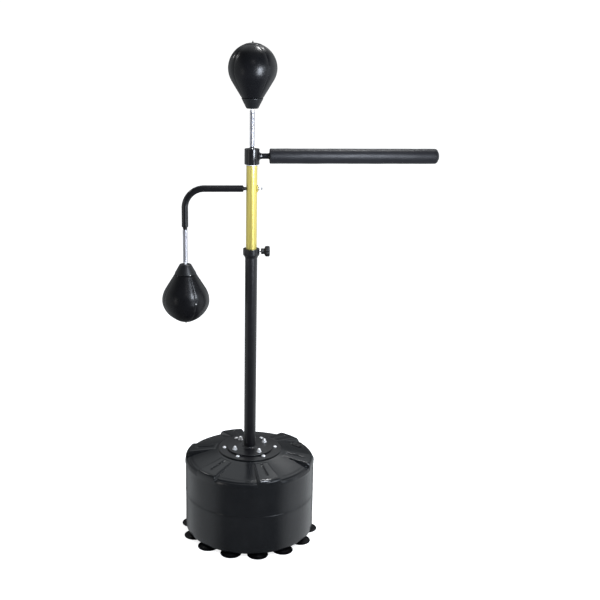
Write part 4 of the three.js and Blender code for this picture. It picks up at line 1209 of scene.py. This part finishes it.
# Soft bright sides of the room: direction, where the glow starts and ends, how much light it adds
GLOWS = [((0.1, 0.5, 0.86), 0.72, 0.97, 0.85), ((0.95, 0.25, -0.2), 0.5, 0.92, 0.95),
         ((-0.95, 0.25, -0.2), 0.5, 0.92, 0.6), ((0, -1, 0.2), -0.2, 0.7, 0.05)]


def make_camera():
    data = bpy.data.cameras.new("camera")
    data.sensor_width = 36
    data.lens = CAMERA_LENS
    data.shift_x = CAMERA_SHIFT
    data.clip_end = 60
    camera = add_object("camera", data)
    pitch, pan, roll = rad(CAMERA_PITCH), rad(CAMERA_PAN), rad(CAMERA_ROLL)
    forward = Vector((sin(pan) * cos(pitch), cos(pan) * cos(pitch), -sin(pitch)))
    level = Vector((cos(pan), -sin(pan), 0))
    steep = forward.cross(level)
    right = level * cos(roll) + steep * sin(roll)
    down = steep * cos(roll) - level * sin(roll)
    turn = Matrix((right, -down, -forward)).transposed()
    place = Vector((MAST_X + CAMERA_AT[0], *CAMERA_AT[1:])) * MM
    camera.matrix_world = Matrix.Translation(place) @ turn.to_4x4()
    bpy.context.scene.camera = camera


def area_light(name, azimuth, distance, height, width, length, power, color, aim_z):
    data = bpy.data.lights.new(name, "AREA")
    data.shape = "RECTANGLE"
    data.size = width
    data.size_y = length
    data.energy = power
    data.color = color
    lamp = add_object(name, data)
    centre = Vector((MAST_X * MM, 0, 0))
    x = sin(rad(azimuth)) * distance
    y = -cos(rad(azimuth)) * distance
    lamp.location = centre + Vector((x, y, height))
    aim = centre + Vector((0, 0, aim_z)) - lamp.location
    lamp.rotation_euler = aim.to_track_quat("-Z", "Y").to_euler()
    lamp.visible_camera = False


def make_floor():
    half = FLOOR_HALF
    mesh = bpy.data.meshes.new("floor")
    corners = [(-half, -half, 0), (half, -half, 0), (half, half, 0), (-half, half, 0)]
    mesh.from_pydata(corners, [], [(0, 1, 2, 3)])
    plane = add_object("floor", mesh)
    plane.location.z = -0.0005
    paint = Paint("floor_paint", (0.86, 0.86, 0.87), 0.7, Specular_IOR_Level=0.2,
                  Emission_Color=(1, 1, 1, 1), Emission_Strength=FLOOR_GLOW)
    paint.patches((2, 3, 0.5), 0.3, 0.8, 0.3, (0.83, 0.83, 0.84))
    mesh.materials.append(MATERIALS["floor_paint"])
    plane.visible_glossy = False


def make_world():
    """White behind the object, and a dim even light all round it."""
    world = bpy.data.worlds.new("studio")
    bpy.context.scene.world = world
    world.use_nodes = True
    tree = world.node_tree
    dim = tree.nodes["Background"]
    dim.inputs["Color"].default_value = (0.93, 0.97, 1.0, 1)
    coords = make_node(tree, "TexCoord", {}, {}).outputs["Generated"]
    level = None
    for direction, start, end, gain in GLOWS:
        toward = make_node(tree, "VectorMath", {1: direction}, {0: coords}, operation="DOT_PRODUCT")
        fade = make_node(tree, "MapRange", {"From Min": start, "From Max": end, "To Max": gain},
                         {"Value": toward.outputs["Value"]}, interpolation_type="SMOOTHSTEP")
        total = make_node(tree, "Math", {0: ROOM_LIGHT}, {1: fade.outputs["Result"]})
        if level is not None:
            tree.links.new(level, total.inputs[0])
        level = total.outputs[0]
    tree.links.new(level, dim.inputs["Strength"])
    white = make_node(tree, "Background", {"Color": (*WHITE, 1), "Strength": BACKDROP_LIGHT}, {})
    seen = make_node(tree, "LightPath", {}, {}).outputs["Is Camera Ray"]
    mix = make_node(tree, "MixShader", {}, {0: seen, 1: dim.outputs[0], 2: white.outputs[0]})
    tree.links.new(mix.outputs[0], tree.nodes["World Output"].inputs["Surface"])


bpy.context.scene.view_settings.view_transform = "Standard"
make_camera()
make_floor()
make_world()
for lamp_name, settings in LIGHTS.items():
    area_light(lamp_name, *settings)
make_tank()
make_cups()
make_filler()
make_plates()
make_post()
make_clamp()
make_spindle()
make_spinner()
make_top_seat()
make_spring("top_spring", MAST_X, "post", "top_flex", "top_head")
Ball("top_ball", MAST_X, "+Z", "top_head", 38, 86, 85.3, 31.6, 37.9, 0)
make_arm()
make_spring("side_spring", SIDE_X, "side_head", "side_flex", "arm")
Ball("side_ball", SIDE_X, "-Z", "side_head", SIDE_SEAM, 87.3, 80.5, 31.7, 39.4, 0.24)
make_eyelets()
